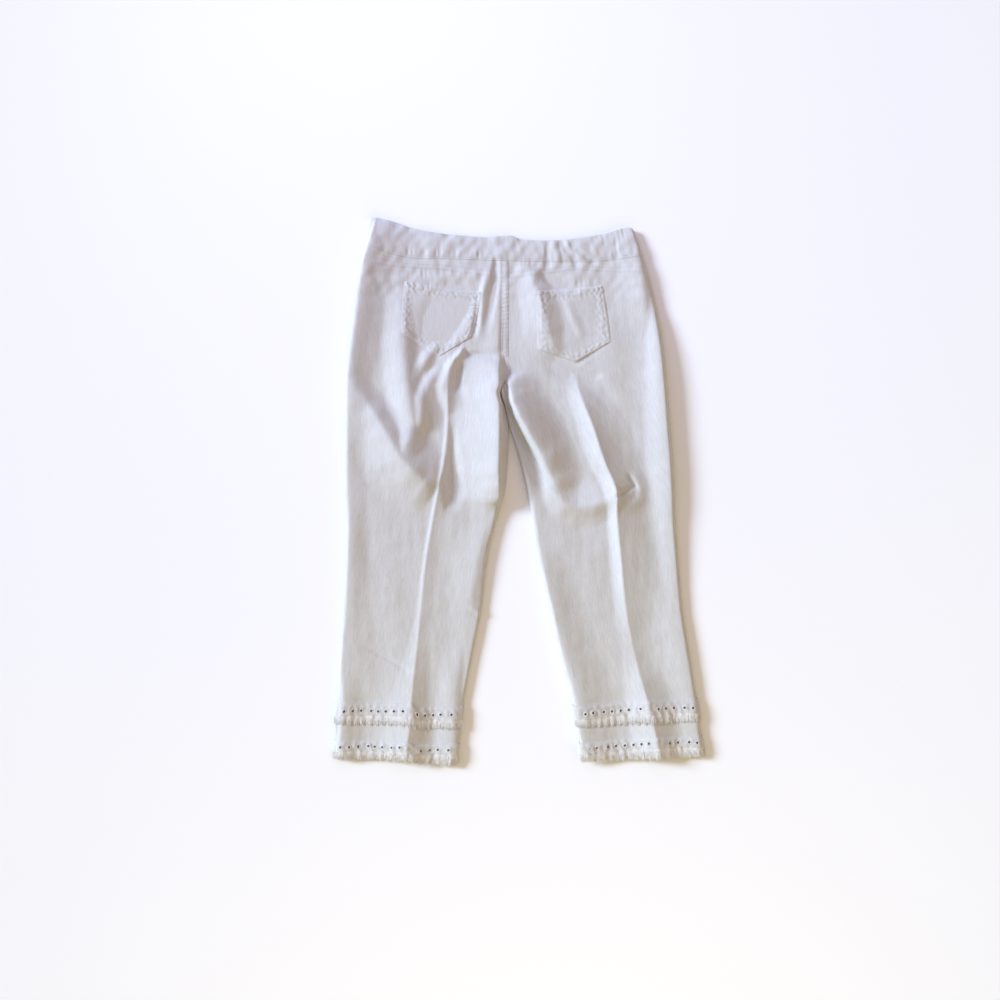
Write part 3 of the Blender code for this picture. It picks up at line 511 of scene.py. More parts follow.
def makeGathers():
    draw = random.Random(gathers["seed"])
    made = []
    for i in range(gathers["count"]):
        along = (i + draw.uniform(0.1, 0.9)) / gathers["count"]
        made.append({
            "along": along,
            "width": draw.uniform(*gathers["width"]),
            "height": gathers["height"] * draw.uniform(0.35, 1.0)
            * float(readCurve(gatherDepth, "share", along, "along")),
            "lean": draw.uniform(-5, 5),        # how far its top lies to the side
            "bottom": draw.uniform(0.75, 1.0),  # its height at the seam and at the upper edge
            "top": draw.choice((0.1, 0.3, 0.6, 0.8)),
            "down": draw.uniform(0.3, 1.0),     # how far it runs into the yoke
        })
    return made


gatherList = makeGathers()


def gatherHeight(along, rise):
    # along is in millimetres from the band's left end; rise is 0 at the seam, 1 at the upper
    # edge, and below 0 in the yoke
    total = np.zeros(np.shape(along))
    for g in gatherList:
        centre = g["along"] * bandLength + g["lean"] * np.clip(rise, 0, 1)
        shape = np.exp(-((along - centre) / g["width"]) ** 2)
        up = g["bottom"] + (g["top"] - g["bottom"]) * np.clip(rise, 0, 1)
        below = np.clip(1 + rise / g["down"], 0, 1) ** 2
        total = total + g["height"] * shape * up * below
    return total


def waistSteps(x):
    # How far along the waistband a place in the yoke is
    return np.clip((x - seamLeft) / seamWidth, 0, 1) * bandLength


def backSurface(side, downs, columns):
    # The outer face of the upper layer of a leg, with all its folds
    downs = np.asarray(downs, float)
    radius = readCurve(clothHeights, "radius", downs)
    plan = legPlan(side, downs, columns, radius)
    x, y = plan["x"], plan["y"]
    z = middle = readCurve(clothHeights, "middle", downs)[:, None]
    for edge, inward in (("outer", plan["fromOuter"]), ("inner", plan["fromInner"])):
        near = np.exp(-((inward - radius[:, None]) / cloth["puff"]) ** 2)
        z = z + (readCurve(clothHeights, edge, downs)[:, None] - middle) * near
    z = z + foldsAt(x, y)
    ridge = pressedCrease[side]
    outerFlank, innerFlank = ("before", "after") if side == "left" else ("after", "before")
    reach = np.where(plan["fromCrease"] < 0, readCurve(ridge, outerFlank, downs)[:, None],
                     readCurve(ridge, innerFlank, downs)[:, None])
    t = np.clip(1 - np.abs(plan["fromCrease"]) / reach, 0, 1)
    z = z + readCurve(ridge, "height", downs)[:, None] * t**creasePower
    # in the seat there is no inner edge to keep away from
    fromInner = plan["fromInner"] + 2 * cloth["calm"] * (1 - fork(downs)[:, None])
    away = np.clip(np.minimum(plan["fromOuter"], fromInner) / cloth["calm"], 0, 1)
    z = z + crumpleHeight(x, y) * (0.3 + 0.7 * away)
    z = z + gatherHeight(waistSteps(x), -downs[:, None] / gathers["intoYoke"])
    low = cloth["seamHeight"] + cloth["gap"] / 2
    innerRise = 1 - fork(downs)[:, None] * (1 - plan["innerRise"])
    z = low + np.maximum(z - low, cloth["leastRise"]) * plan["outerRise"] * innerRise
    grain = np.stack([plan["fromCrease"] * -outward(side), -np.broadcast_to(downs[:, None], x.shape),
                      np.zeros(x.shape)], 2)
    return np.stack([x, y, z], 2), grain


def frontSurface(side, downs, columns):
    # The outer face of the layer that lies on the floor
    downs = np.asarray(downs, float)
    plan = legPlan(side, downs, columns, np.full(len(downs), cloth["seamHeight"]))
    base = cloth["trimWall"] + cloth["gap"]
    base = base * ease((downs - tierRoom["from"]) / tierRoom["over"])
    innerRise = 1 - fork(downs)[:, None] * (1 - plan["innerRise"])
    high = cloth["seamHeight"] - cloth["gap"] / 2
    z = base[:, None] + (high - base[:, None]) * (1 - plan["outerRise"] * innerRise)
    grain = np.stack([plan["fromCrease"] * outward(side),
                      -np.broadcast_to(downs[:, None], z.shape), np.zeros(z.shape)], 2)
    return np.stack([plan["x"], plan["y"], z], 2), grain


def gridNormals(points, facing):
    normals = np.cross(np.gradient(points, axis=0), np.gradient(points, axis=1))
    length = np.linalg.norm(normals, axis=2, keepdims=True)
    normals = normals / np.maximum(length, 1e-9)
    flip = np.sign(np.sum(normals[:, :, 2]) * facing)
    return normals * flip


def meshFrom(name, verts, faces, grain=None):
    mesh = bpy.data.meshes.new(name)
    mesh.from_pydata([tuple(v) for v in np.asarray(verts) * mm], [], faces)
    if grain is not None:
        layer = mesh.attributes.new("grain", "FLOAT_VECTOR", "POINT")
        layer.data.foreach_set("vector", (np.asarray(grain, float) * mm).ravel())
    mesh.shade_smooth()
    made = bpy.data.objects.new(name, mesh)
    bpy.context.scene.collection.objects.link(made)
    return made


def clothPiece(name, points, grain, wall, facing, missing=None):
    # A grid of cells as one sheet, thickened inwards. missing says which cells are holes.
    rows, columns = points.shape[:2]
    number = np.arange(rows * columns).reshape(rows, columns)
    a, b = number[:-1, :-1], number[:-1, 1:]
    d, e = number[1:, :-1], number[1:, 1:]
    quads = np.stack([a, d, e, b], 2)
    across = points[0, -1] - points[0, 0]
    along = points[-1, 0] - points[0, 0]
    upward = np.cross(along, across)[2]
    if upward * facing < 0:
        quads = quads[:, :, ::-1]
    keep = np.ones(quads.shape[:2], bool) if missing is None else ~missing
    made = meshFrom(name, points.reshape(-1, 3), quads[keep].tolist(), grain.reshape(-1, 3))
    thick = made.modifiers.new("cloth thickness", "SOLIDIFY")
    thick.thickness = wall * mm
    thick.offset = -1
    return made


tuck = {"yoke": 0.4, "back_leg": 0.12, "start": 0.1, "reach": 3.0}      # depth of each, and runs


def tuckUnder(points, grain, depth):
    # Runs the cloth on under the piece above it, as a seam does
    normals = gridNormals(points, 1)[0]
    ahead = points[0] - points[1]
    ahead = ahead / np.maximum(np.linalg.norm(ahead, axis=1, keepdims=True), 1e-9)
    near = points[0] + ahead * tuck["start"] - normals * depth
    far = near + ahead * tuck["reach"] - normals * depth
    farGrain, nearGrain = (grain[:1] + (0, tuck[key], 0) for key in ("reach", "start"))
    return (np.concatenate([far[None], near[None], points]),
            np.concatenate([farGrain, nearGrain, grain]))


def treeOf(points):
    # For finding the cloth's height under a place
    rows, columns = points.shape[:2]
    number = np.arange(rows * columns).reshape(rows, columns)
    quads = np.stack([number[:-1, :-1], number[1:, :-1], number[1:, 1:], number[:-1, 1:]], 2)
    return BVHTree.FromPolygons([tuple(p) for p in points.reshape(-1, 3)],
                                quads.reshape(-1, 4).tolist())


def onCloth(trees, x, y):
    # The highest point of the cloth there, and the direction it faces
    best = None
    for tree in trees:
        spot, normal, _, _ = tree.ray_cast(Vector((x, y, 200)), Vector((0, 0, -1)))
        if spot is not None and (best is None or spot.z > best[0].z):
            best = (spot, normal if normal.z > 0 else -normal)
    return best


def crispEnds(marks, margin):
    # A narrow cell at each end keeps the shading of a cut edge from spreading inwards
    marks = np.asarray(marks, float)
    return np.r_[marks[0], marks[0] + margin, marks[1:-1], marks[-1] - margin, marks[-1]]


def seamRows(first, last, step):
    low, high = first + cloth["gap"] / 2, last - cloth["gap"] / 2
    cells = max(2, round((high - low) / step))
    return crispEnds(np.linspace(low, high, cells + 1), cloth["crisp"])


def finishPiece(piece, node, material):
    piece.data.materials.append(material)
    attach(piece, "root")
    if node:
        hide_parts(node)
    return piece


# Materials

denimLook = {
    "light": (0.638, 0.64, 0.616, 1), "dark": (0.534, 0.53, 0.51, 1),
    "twill": 0.0009, "slubWidth": 0.0022, "slubLength": 0.026, "roughness": 0.86, "sheen": 0.15,
}
threadLook = {"light": (0.68, 0.68, 0.685, 1), "dark": (0.57, 0.57, 0.57, 1), "roughness": 0.7}
# The frayed threads are given a lighter colour than the denim: painted light, making up for the shade
# the thin threads cast on each other
frayLook = {"light": (0.84, 0.84, 0.825, 1), "dark": (0.77, 0.77, 0.755, 1), "roughness": 0.95}
waveScale = 0.314       # the Scale at which a wave texture has one band a metre


def newGroup(name, inputs, outputs):
    group = bpy.data.node_groups.new(name, "ShaderNodeTree")
    for label, kind, value in inputs:
        made = group.interface.new_socket(name=label, in_out="INPUT", socket_type=kind)
        if value is not None:
            made.default_value = value
    for label, kind in outputs:
        group.interface.new_socket(name=label, in_out="OUTPUT", socket_type=kind)
    return group, group.nodes.new("NodeGroupInput"), group.nodes.new("NodeGroupOutput")


def addNode(tree, kind, links=None, **settings):
    # links is a dictionary of socket name or number to what feeds it
    made = tree.nodes.new(kind)
    for key, value in settings.items():
        setattr(made, key, value)
    for key, value in (links or {}).items():
        if isinstance(value, bpy.types.NodeSocket):
            tree.links.new(value, made.inputs[key])
        else:
            made.inputs[key].default_value = value
    return made


def mathNode(tree, operation, a, b=0.0, c=0.0):
    return addNode(tree, "ShaderNodeMath", {0: a, 1: b, 2: c}, operation=operation).outputs[0]


def makeWeaveGroup():
    # Twill ribs, uneven yarns that run down the leg, and the long slubs of the warp
    group, start, end = newGroup("denimWeave", [
        ("Grain", "NodeSocketVector", None), ("Twill", "NodeSocketFloat", 0.0009),
        ("Slub Width", "NodeSocketFloat", 0.003), ("Slub Length", "NodeSocketFloat", 0.04),
    ], [("Shade", "NodeSocketFloat"), ("Height", "NodeSocketFloat")])
    grain = start.outputs["Grain"]
    wide = mathNode(group, "DIVIDE", 1.0, start.outputs["Slub Width"])
    long = mathNode(group, "DIVIDE", 1.0, start.outputs["Slub Length"])
    stretch = addNode(group, "ShaderNodeCombineXYZ", {"X": wide, "Y": long, "Z": 1.0})
    placed = addNode(group, "ShaderNodeVectorMath", {0: grain, 1: stretch.outputs[0]},
                     operation="MULTIPLY")
    slub = addNode(group, "ShaderNodeTexNoise", {"Vector": placed.outputs[0], "Scale": 1.0,
                                                 "Detail": 2.0, "Roughness": 0.55})
    finer = addNode(group, "ShaderNodeVectorMath", {0: placed.outputs[0], 1: (2.7, 3.6, 1.0)},
                    operation="MULTIPLY")
    yarn = addNode(group, "ShaderNodeTexNoise", {"Vector": finer.outputs[0], "Scale": 1.0,
                                                 "Detail": 1.0, "Roughness": 0.5})
    ribs = mathNode(group, "DIVIDE", waveScale, start.outputs["Twill"])
    twill = addNode(group, "ShaderNodeTexWave", {"Vector": grain, "Scale": ribs,
                                                 "Distortion": 0.6, "Detail": 1.0},
                    bands_direction="DIAGONAL")
    shade = mathNode(group, "MULTIPLY_ADD", yarn.outputs[0], 0.35,
                     mathNode(group, "MULTIPLY", slub.outputs[0], 0.65))
    height = mathNode(group, "MULTIPLY_ADD", twill.outputs["Fac"], 0.25, shade)
    group.links.new(shade, end.inputs["Shade"])
    group.links.new(height, end.inputs["Height"])
    return group


def makeHandlingGroup():
    # Slow uneven patches, as cloth has after folding and handling
    group, start, end = newGroup("handledCloth", [
        ("Place", "NodeSocketVector", None), ("Size", "NodeSocketFloat", 0.05),
    ], [("Patch", "NodeSocketFloat"), ("Height", "NodeSocketFloat")])
    scale = mathNode(group, "DIVIDE", 1.0, start.outputs["Size"])
    patch = addNode(group, "ShaderNodeTexNoise", {"Vector": start.outputs["Place"], "Scale": scale,
                                                  "Detail": 3.0, "Roughness": 0.6})
    smaller = mathNode(group, "MULTIPLY", scale, 6.0)
    dents = addNode(group, "ShaderNodeTexNoise", {"Vector": start.outputs["Place"],
                                                  "Scale": smaller, "Detail": 2.0})
    group.links.new(patch.outputs[0], end.inputs["Patch"])
    group.links.new(dents.outputs[0], end.inputs["Height"])
    return group


weaveGroup, handlingGroup = makeWeaveGroup(), makeHandlingGroup()


def useGroup(tree, group, links):
    return addNode(tree, "ShaderNodeGroup", links, node_tree=group)


def newMaterial(name):
    made = bpy.data.materials.new(name)
    made.use_nodes = True
    return made, made.node_tree, made.node_tree.nodes["Principled BSDF"]


def makeDenim(name, look, slub=1.0, weaveBump=0.0001, handledBump=0.0002):
    made, tree, shader = newMaterial(name)
    grain = addNode(tree, "ShaderNodeAttribute", attribute_name="grain").outputs["Vector"]
    place = addNode(tree, "ShaderNodeTexCoord").outputs["Object"]
    weave = useGroup(tree, weaveGroup, {"Grain": grain, "Twill": look["twill"],
                                        "Slub Width": look["slubWidth"],
                                        "Slub Length": look["slubLength"]})
    handled = useGroup(tree, handlingGroup, {"Place": place, "Size": 0.05})
    tone = addNode(tree, "ShaderNodeMapRange", {"Value": weave.outputs["Shade"], "From Min": 0.36,
                                                "From Max": 0.62, "To Min": 0.5 - 0.5 * slub,
                                                "To Max": 0.5 + 0.5 * slub})
    both = mathNode(tree, "MULTIPLY_ADD", handled.outputs["Patch"], 0.25,
                    mathNode(tree, "MULTIPLY", tone.outputs[0], 0.75))
    colour = addNode(tree, "ShaderNodeMix", {"Factor": both, "A": look["dark"],
                                             "B": look["light"]}, data_type="RGBA")
    tree.links.new(colour.outputs["Result"], shader.inputs["Base Color"])
    first = addNode(tree, "ShaderNodeBump", {"Height": handled.outputs["Height"],
                                             "Distance": handledBump, "Strength": 1.0})
    second = addNode(tree, "ShaderNodeBump", {"Height": weave.outputs["Height"],
                                              "Distance": weaveBump, "Strength": 1.0,
                                              "Normal": first.outputs[0]})
    tree.links.new(second.outputs[0], shader.inputs["Normal"])
    shader.inputs["Roughness"].default_value = look["roughness"]
    shader.inputs["Sheen Weight"].default_value = look["sheen"]
    shader.inputs["Sheen Roughness"].default_value = 0.6
    return made


def makeThread(name, look, turns=0.0009, bump=0.0001):
    made, tree, shader = newMaterial(name)
    place = addNode(tree, "ShaderNodeTexCoord").outputs["Object"]
    handled = useGroup(tree, handlingGroup, {"Place": place, "Size": 0.004})
    twist = addNode(tree, "ShaderNodeTexWave", {"Vector": place, "Scale": waveScale / turns,
                                                "Distortion": 1.5}, bands_direction="DIAGONAL")
    colour = addNode(tree, "ShaderNodeMix", {"Factor": handled.outputs["Patch"],
                                             "A": look["dark"], "B": look["light"]},
                     data_type="RGBA")
    tree.links.new(colour.outputs["Result"], shader.inputs["Base Color"])
    lift = addNode(tree, "ShaderNodeBump", {"Height": twist.outputs["Fac"], "Distance": bump})
    tree.links.new(lift.outputs[0], shader.inputs["Normal"])
    shader.inputs["Roughness"].default_value = look["roughness"]
    return made


denim = makeDenim("white_denim", denimLook)
bandDenim = makeDenim("waistband_denim", denimLook, slub=0.8)
pocketDenim = makeDenim("pocket_denim", denimLook)
tierDenim = makeDenim("tier_denim", denimLook, slub=0.7, handledBump=0.0005)
seamThread = makeThread("seam_thread", threadLook)
rimThread = makeThread("embroidery_thread", threadLook)
frayedThread = makeThread("frayed_thread", frayLook)
print("capri pants: materials made")

# Where the holes of the tiers are: millimetres from the outer edge, and how much lower or
# higher than the row's own line each one sits
eyelets = {
    "radius": 2.1, "rimRadius": 4.3, "rimHeight": 0.5,
    "collar": 3.9,                  # radius of the second ring of points round a hole
    "block": (1.8, 3.6, 5.2),       # how far from its middle the rows and columns round it run
    "legHole": 3.6,                 # radius of the opening in the leg behind it
    "passes": 22, "around": 66, "rings": 5,         # of the rim: ridges, and the mesh's cells
    "lip": 0.25, "ridge": 0.12,     # how far it reaches into the hole, and each pass stands out
    "ragged": (0.05, 0.03),         # unevenness of its outer edge
    "root": 0.7, "foot": 0.25,      # how far it goes down in the hole, and into the cloth
    "upper_left": [(15, 0.5), (29, 0), (43, -0.3), (60, 0.2), (72, 0.8), (85, 0.6), (99, -0.4),
                   (114, -1), (137, -0.6), (150, 0.8), (164, 0.5), (177, -0.6), (195, -0.8)],
    "lower_left": [(12, 0.4), (26, 0.4), (41, 0), (58, -0.8), (69, 0), (82, 0.6), (98, 0.3),
                   (112, -1), (146, 0.9), (161, 0.7), (175, -0.5), (193, -0.2)],
    "upper_right": [(10, 0), (24, -0.4), (42, -0.2), (56, 0.5), (69, 0.8), (98, -0.8),
                    (117, 0.3), (131, 0.8), (146, 0.6), (160, 0), (178, -0.6), (191, 0.2)],
    "lower_right": [(10, 0), (23, -0.8), (42, 0), (57, 0.6), (91, -0.6), (103, 0.2), (116, 0.8),
                    (131, 0.9), (146, 0.5), (160, 0.2), (179, -0.2), (191, 0.6)],
}
tiers = {
    "upper": {"top": 735, "middle": 750.5, "bottom": 760},
    "lower": {"top": 800, "middle": 812.5, "bottom": 822},
}


def eyeletCentres(level, side):
    # On the leg's own surface, in plan
    spots = eyelets[f"{level}_{side}"]
    centres = []
    for fromOuter, lower in spots:
        points, _ = backSurface(side, [tiers[level]["middle"] + lower], [("at", fromOuter)])
        centres.append(points[0, 0])
    return np.array(centres)


def makeLegs(side):
    columns = legColumnsOf(side, cloth["grid"])
    made, trees = {}, []
    for name, first, last in (("yoke", waistSeam, yokeSeam), ("back_leg", yokeSeam, panelEnd)):
        downs = seamRows(first, last, cloth["grid"])
        points, grain = backSurface(side, downs, columns)
        trees.append(treeOf(points))
        points, grain = tuckUnder(points, grain, tuck[name])
        missing = holesBehind(points, side) if name == "back_leg" else None
        piece = clothPiece(f"{name}_{side}_cloth", points, grain, cloth["wall"], 1, missing)
        finishPiece(piece, f"{name}_{side}", denim)
        made[name] = piece
    columns = legColumnsOf(side, cloth["frontGrid"])
    points, grain = frontSurface(side, seamRows(waistSeam, panelEnd, cloth["frontGrid"]), columns)
    piece = clothPiece(f"front_leg_{side}_cloth", points, grain, cloth["wall"], -1)
    made["front_leg"] = finishPiece(piece, f"front_leg_{side}", denim)
    return made, trees


def holesBehind(points, side):
    # The embroidery goes through the leg too, so the leg is open behind the upper holes
    middles = (points[:-1, :-1] + points[1:, 1:]) / 2
    missing = np.zeros(middles.shape[:2], bool)
    for centre in eyeletCentres("upper", side):
        away = np.hypot(middles[:, :, 0] - centre[0], middles[:, :, 1] - centre[1])
        missing |= away < eyelets["legHole"]
    return missing


waistEdge = makeRows("along x y", [
    (0.00, -251, 461), (0.02, -243, 463), (0.09, -213, 457), (0.18, -174, 444),
    (0.27, -132, 437), (0.36, -90, 433), (0.44, -58, 431), (0.54, -13, 433), (0.59, 4, 427),
    (0.73, 69, 426), (0.87, 136, 435), (0.96, 178, 446), (0.985, 189, 445), (1.00, 195, 439),
])
waistband = {
    "cell": 1.8, "rows": 22, "frontRows": 12,
    "lastRow": 0.975, "crisp": 0.007,   # rows near the edges, as shares of the height
    "height": 7, "endPuff": 3,          # of the upper edge, and how much more near its ends
    "roll": 3.0, "rollDrop": 1.6,       # how the upper edge turns over
    "bulge": 1.2, "step": 0.25,         # between the edges, and over the seam
    "frontDrop": 9,                     # the front one's upper edge lies lower in the middle
    "grainHeight": 45,
}


def seamLine(surface, step):
    left, _ = surface("left", [0.0], legColumnsOf("left", step))
    right, _ = surface("right", [0.0], legColumnsOf("right", step))
    line = np.concatenate([left[0], right[0][::-1]])
    marks = np.r_[0, np.cumsum(np.hypot(*np.diff(line[:, :2], axis=0).T))]
    return line, marks


def makeBackBand():
    line, marks = seamLine(backSurface, cloth["grid"])
    length = marks[-1]
    radius = float(readCurve(clothHeights, "radius", waistSeam))
    angles = np.radians(cloth["edgeAngles"])
    ends, endRises = radius * (1 - np.cos(angles)), np.sin(angles)
    flat = np.linspace(radius, length - radius, round(length / waistband["cell"]))
    at = np.r_[ends, flat, (length - ends)[::-1]]
    rise = np.r_[endRises, np.ones(len(flat)), endRises[::-1]]
    lower = np.stack([np.interp(at, marks, line[:, axis]) for axis in range(3)], 1)
    lower[:, 1] += cloth["gap"] / 2
    upperX = readCurve(waistEdge, "x", at / length, "along")
    upperY = readCurve(waistEdge, "y", at / length, "along")
    low = cloth["seamHeight"] + cloth["gap"] / 2
    near = np.exp(-((np.minimum(at, length - at) - radius) / cloth["puff"]) ** 2)
    upperZ = low + (waistband["height"] + waistband["endPuff"] * near - low) * rise
    t = np.linspace(0, 1, waistband["rows"])
    t = crispEnds(np.r_[t[:-1], waistband["lastRow"], 1.0], waistband["crisp"])[:, None]
    x = lower[:, 0] + t * (upperX - lower[:, 0])
    y = lower[:, 1] + t * (upperY - lower[:, 1])
    steps = np.broadcast_to(waistSteps(lower[:, 0]), x.shape)
    z = lower[:, 2] + t * (upperZ - lower[:, 2])
    z = z + rise * (gatherHeight(steps, t) - (1 - t) * gatherHeight(steps, 0 * t))
    z = z + rise * (foldsAt(x, y) - (1 - t) * foldsAt(lower[:, 0], lower[:, 1]))
    z = z + rise * (crumpleHeight(x, y) - (1 - t) * crumpleHeight(lower[:, 0], lower[:, 1]))
    z = z + rise * (waistband["bulge"] * np.sin(np.pi * t) + waistband["step"] * (1 - t) ** 3)
    fromTop = (1 - t) * np.hypot(upperX - lower[:, 0], upperY - lower[:, 1])
    roll = np.clip(1 - fromTop / waistband["roll"], 0, 1)
    z = z - rise * waistband["rollDrop"] * (1 - np.sqrt(1 - roll**2))
    points = np.stack([x, y, z], 2)[::-1]
    grain = np.stack([np.broadcast_to(at, x.shape), t * waistband["grainHeight"] + 0 * x, 0 * x], 2)
    piece = clothPiece("waistband_back_cloth", points, grain[::-1], cloth["bandWall"], 1)
    finishPiece(piece, "waistband_back", bandDenim)
    return piece, treeOf(points)


def makeFrontBand():
    line, marks = seamLine(frontSurface, cloth["frontGrid"])
    lower = line + (0, cloth["gap"] / 2, 0)
    share = marks / marks[-1]
    upper = np.stack([readCurve(waistEdge, "x", share, "along"),
                      readCurve(waistEdge, "y", share, "along")
                      - waistband["frontDrop"] * np.sin(np.pi * share), lower[:, 2]], 1)
    t = np.linspace(1, 0, waistband["frontRows"])[:, None, None]
    points = lower + t * (upper - lower)
    flat = 0 * points[:, :, 0]
    grain = np.stack([flat + marks, flat + t[:, :, 0] * waistband["grainHeight"], flat], 2)
    piece = clothPiece("waistband_front_cloth", points, grain, cloth["bandWall"], -1)
    return finishPiece(piece, "waistband_front", bandDenim)


legs, legTrees = {}, {}
for side in ("left", "right"):
    legs[side], legTrees[side] = makeLegs(side)
backBand, bandTree = makeBackBand()
frontBand = makeFrontBand()
backTrees = legTrees["left"] + legTrees["right"]
print("capri pants: legs, yokes and waistband made")

# Patch pockets: corners from the upper left, clockwise, with a pointed lower edge
pocketStitches = {"sides": (2.8, 8.0), "hem": 12.5}      # lines, so far in from the edges
pockets = {
    "cell": 1.7, "edge": 0.05, "face": 0.9,         # heights over the leg
    "weltWidth": 9, "welt": 0.25, "hem": 14, "hemHeight": 0.3, "fade": 3,
    "gape": 0.3, "gapeReach": 7, "pucker": 0.26, "puckerSize": 9,
    "puckerReach": 9, "hemPucker": 3, "hemPuckerReach": 8,      # by the seams; above the hem's
    "channel": 0.16, "channelWidth": 0.9,           # what a line of stitches presses in
    "rounds": {"left": 6.0, "right": 2.6, "top": 3.0, "bottom": 2.2},     # how softly edges lie
    "left": {"corners": [(-192, 356), (-63, 339), (-80, 262), (-132, 230), (-197, 270)],
             "bow": (-1.5, 3.5), "dip": 5},
    "right": {"corners": [(31, 339), (141, 349), (155, 254), (96, 220), (32, 241)],
              "bow": (-1, 1.5), "dip": 1.5},
}


def pocketPlace(side, s, t):
    # s runs across from the left edge, t down from the opening
    shape = pockets[side]
    topLeft, topRight, lowRight, tip, lowLeft = (np.array(c, float) for c in shape["corners"])
    tipShare = (np.linalg.norm(tip - lowLeft)
                / (np.linalg.norm(tip - lowLeft) + np.linalg.norm(lowRight - tip)))
    s, t = np.broadcast_arrays(np.asarray(s, float), np.asarray(t, float))
    ofTop = (topLeft[axis] + s * (topRight[axis] - topLeft[axis]) for axis in (0, 1))
    low = np.clip(s / tipShare, 0, 1)
    high = np.clip((s - tipShare) / (1 - tipShare), 0, 1)
    ofBottom = (lowLeft[axis] + low * (tip[axis] - lowLeft[axis])
                + high * (lowRight[axis] - tip[axis]) for axis in (0, 1))
    x, y = (a + t * (b - a) for a, b in zip(ofTop, ofBottom))
    left, right = shape["bow"]
    x = x + np.sin(np.pi * t) * (left * (1 - s) + right * s)
    y = y - shape["dip"] * (1 - t) * np.sin(np.pi * np.clip(s, 0, 1)) * s
    return x, y


def pocketSizes(side):
    topLeft, topRight, _, tip, _ = (np.array(c, float) for c in pockets[side]["corners"])
    width = np.linalg.norm(topRight - topLeft)
    depth = np.linalg.norm((topLeft + topRight) / 2 - tip)
    return width, depth


def makePocket(side):
    width, depth = pocketSizes(side)
    s, t = (crispEnds(np.linspace(0, 1, round(size / pockets["cell"])), cloth["crisp"] / size)
            for size in (width, depth))
    s, t = s[None, :], t[:, None]
    x, y = pocketPlace(side, s, t)
    ground = np.zeros(x.shape)
    for index in np.ndindex(x.shape):
        ground[index] = onCloth(legTrees[side], x[index], y[index])[0].z
    fromTop, fromBottom = t * depth, (1 - t) * depth
    fromEdge = np.minimum(np.minimum(s, 1 - s) * width, fromBottom)
    welt = ease(1 - (fromEdge - pockets["weltWidth"]) / pockets["fade"]) * pockets["welt"]
    hem = ease(1 - (fromTop - pockets["hem"]) / pockets["fade"]) * pockets["hemHeight"]
    nearStitch = np.exp(-((fromEdge - pockets["weltWidth"]) / pockets["puckerReach"]) ** 2)
    fromHem = fromTop - pockets["hem"] + pockets["hemPucker"]
    nearHem = np.exp(-(fromHem / pockets["hemPuckerReach"]) ** 2)
    rounds = pockets["rounds"]
    rounded = ease(np.minimum(s * width / rounds["left"], (1 - s) * width / rounds["right"]))
    rounded = rounded * ease(fromTop / rounds["top"]) * ease((fromBottom + 0.7) / rounds["bottom"])
    pucker = (pockets["pucker"] * (nearStitch + nearHem)
              * ripple(x, y, pockets["puckerSize"], 1.0, 31) * rounded)
    gape = pockets["gape"] * np.exp(-(fromTop / pockets["gapeReach"]) ** 2) * np.sin(np.pi * s)
    fromStitches = [fromEdge - d for d in pocketStitches["sides"]]
    fromStitches.append(fromTop - pocketStitches["hem"])
    channel = sum(pockets["channel"] * np.exp(-(d / pockets["channelWidth"]) ** 2)
                  for d in fromStitches)
    z = ground + pockets["edge"] + rounded * (pockets["face"] + np.maximum(welt, hem))
    z = z + pucker + gape - channel * rounded
    points = np.stack([x, y, z], 2)
    grain = np.stack([s * width + 0 * x, -t * depth + 0 * x, 0 * x + 30], 2)
    piece = clothPiece(f"pocket_{side}_cloth", points, grain, cloth["trimWall"], 1)
    finishPiece(piece, f"pocket_{side}", pocketDenim)
    return piece, treeOf(points)


pocketPieces, pocketTrees = {}, {}
for side in ("left", "right"):
    pocketPieces[side], pocketTrees[side] = makePocket(side)


# The felled seam down the middle of the seat covers the joint of the two sides
seatSeam = {
    "first": 0.6, "last": 170, "step": 1.75, "taper": 22,       # down the seam
    "left": 8.6, "right": 3.6, "height": 1.0, "sunk": 0.35, "wall": 0.7,
    "across": (0, 0.08, 0.16, 0.28, 0.42, 0.56, 0.7, 0.84, 0.92, 1.0), "roundness": 0.7,
    "pucker": 0.3, "pitch": 7, "unevenness": 0.06, "probe": 0.7,
    "stitchLines": (-7.4, 2.2), "stitchFrom": 3,
}


def makeSeatSeam():
    downs = seamRows(seatSeam["first"], seatSeam["last"], seatSeam["step"])
    x, y = readCurve(centreSeam, "x", downs), readCurve(centreSeam, "y", downs)
    f = np.array(seatSeam["across"])
    across = f * (seatSeam["left"] + seatSeam["right"]) - seatSeam["left"]
    rounded = np.sin(np.pi * f) ** seatSeam["roundness"]
    points = np.zeros((len(downs), len(across), 3))
    for r in range(len(downs)):
        # three looks at each place, as one or two of them may be into the gap of a joint
        heights = [onCloth(backTrees, x[r] + a + d, y[r] + d)
                   for d in (-seatSeam["probe"], 0, seatSeam["probe"]) for a in across]
        level = np.array([h[0].z if h else 0 for h in heights]).reshape(3, -1).max(axis=0)
        fade = float(ease((seatSeam["last"] - downs[r]) / seatSeam["taper"]))
        uneven = (1 + seatSeam["unevenness"] * ripple(0.0, y[r], 9, 1.0, 41)
                  + seatSeam["pucker"] * math.cos(2 * math.pi * y[r] / seatSeam["pitch"]))
        points[r, :, 0], points[r, :, 1] = x[r] + across, y[r]
        points[r, :, 2] = level - seatSeam["sunk"] * (2 - fade)
        points[r, :, 2] += (seatSeam["height"] * uneven + seatSeam["sunk"]) * rounded * fade
    grain = points * (1, 1, 0) + (0, 0, 50)
    piece = clothPiece("seat_seam", points, grain, seatSeam["wall"], 1)
    finishPiece(piece, None, denim)
    return piece, treeOf(points)


seatPiece, seatTree = makeSeatSeam()
print("capri pants: pockets and seat seam made")

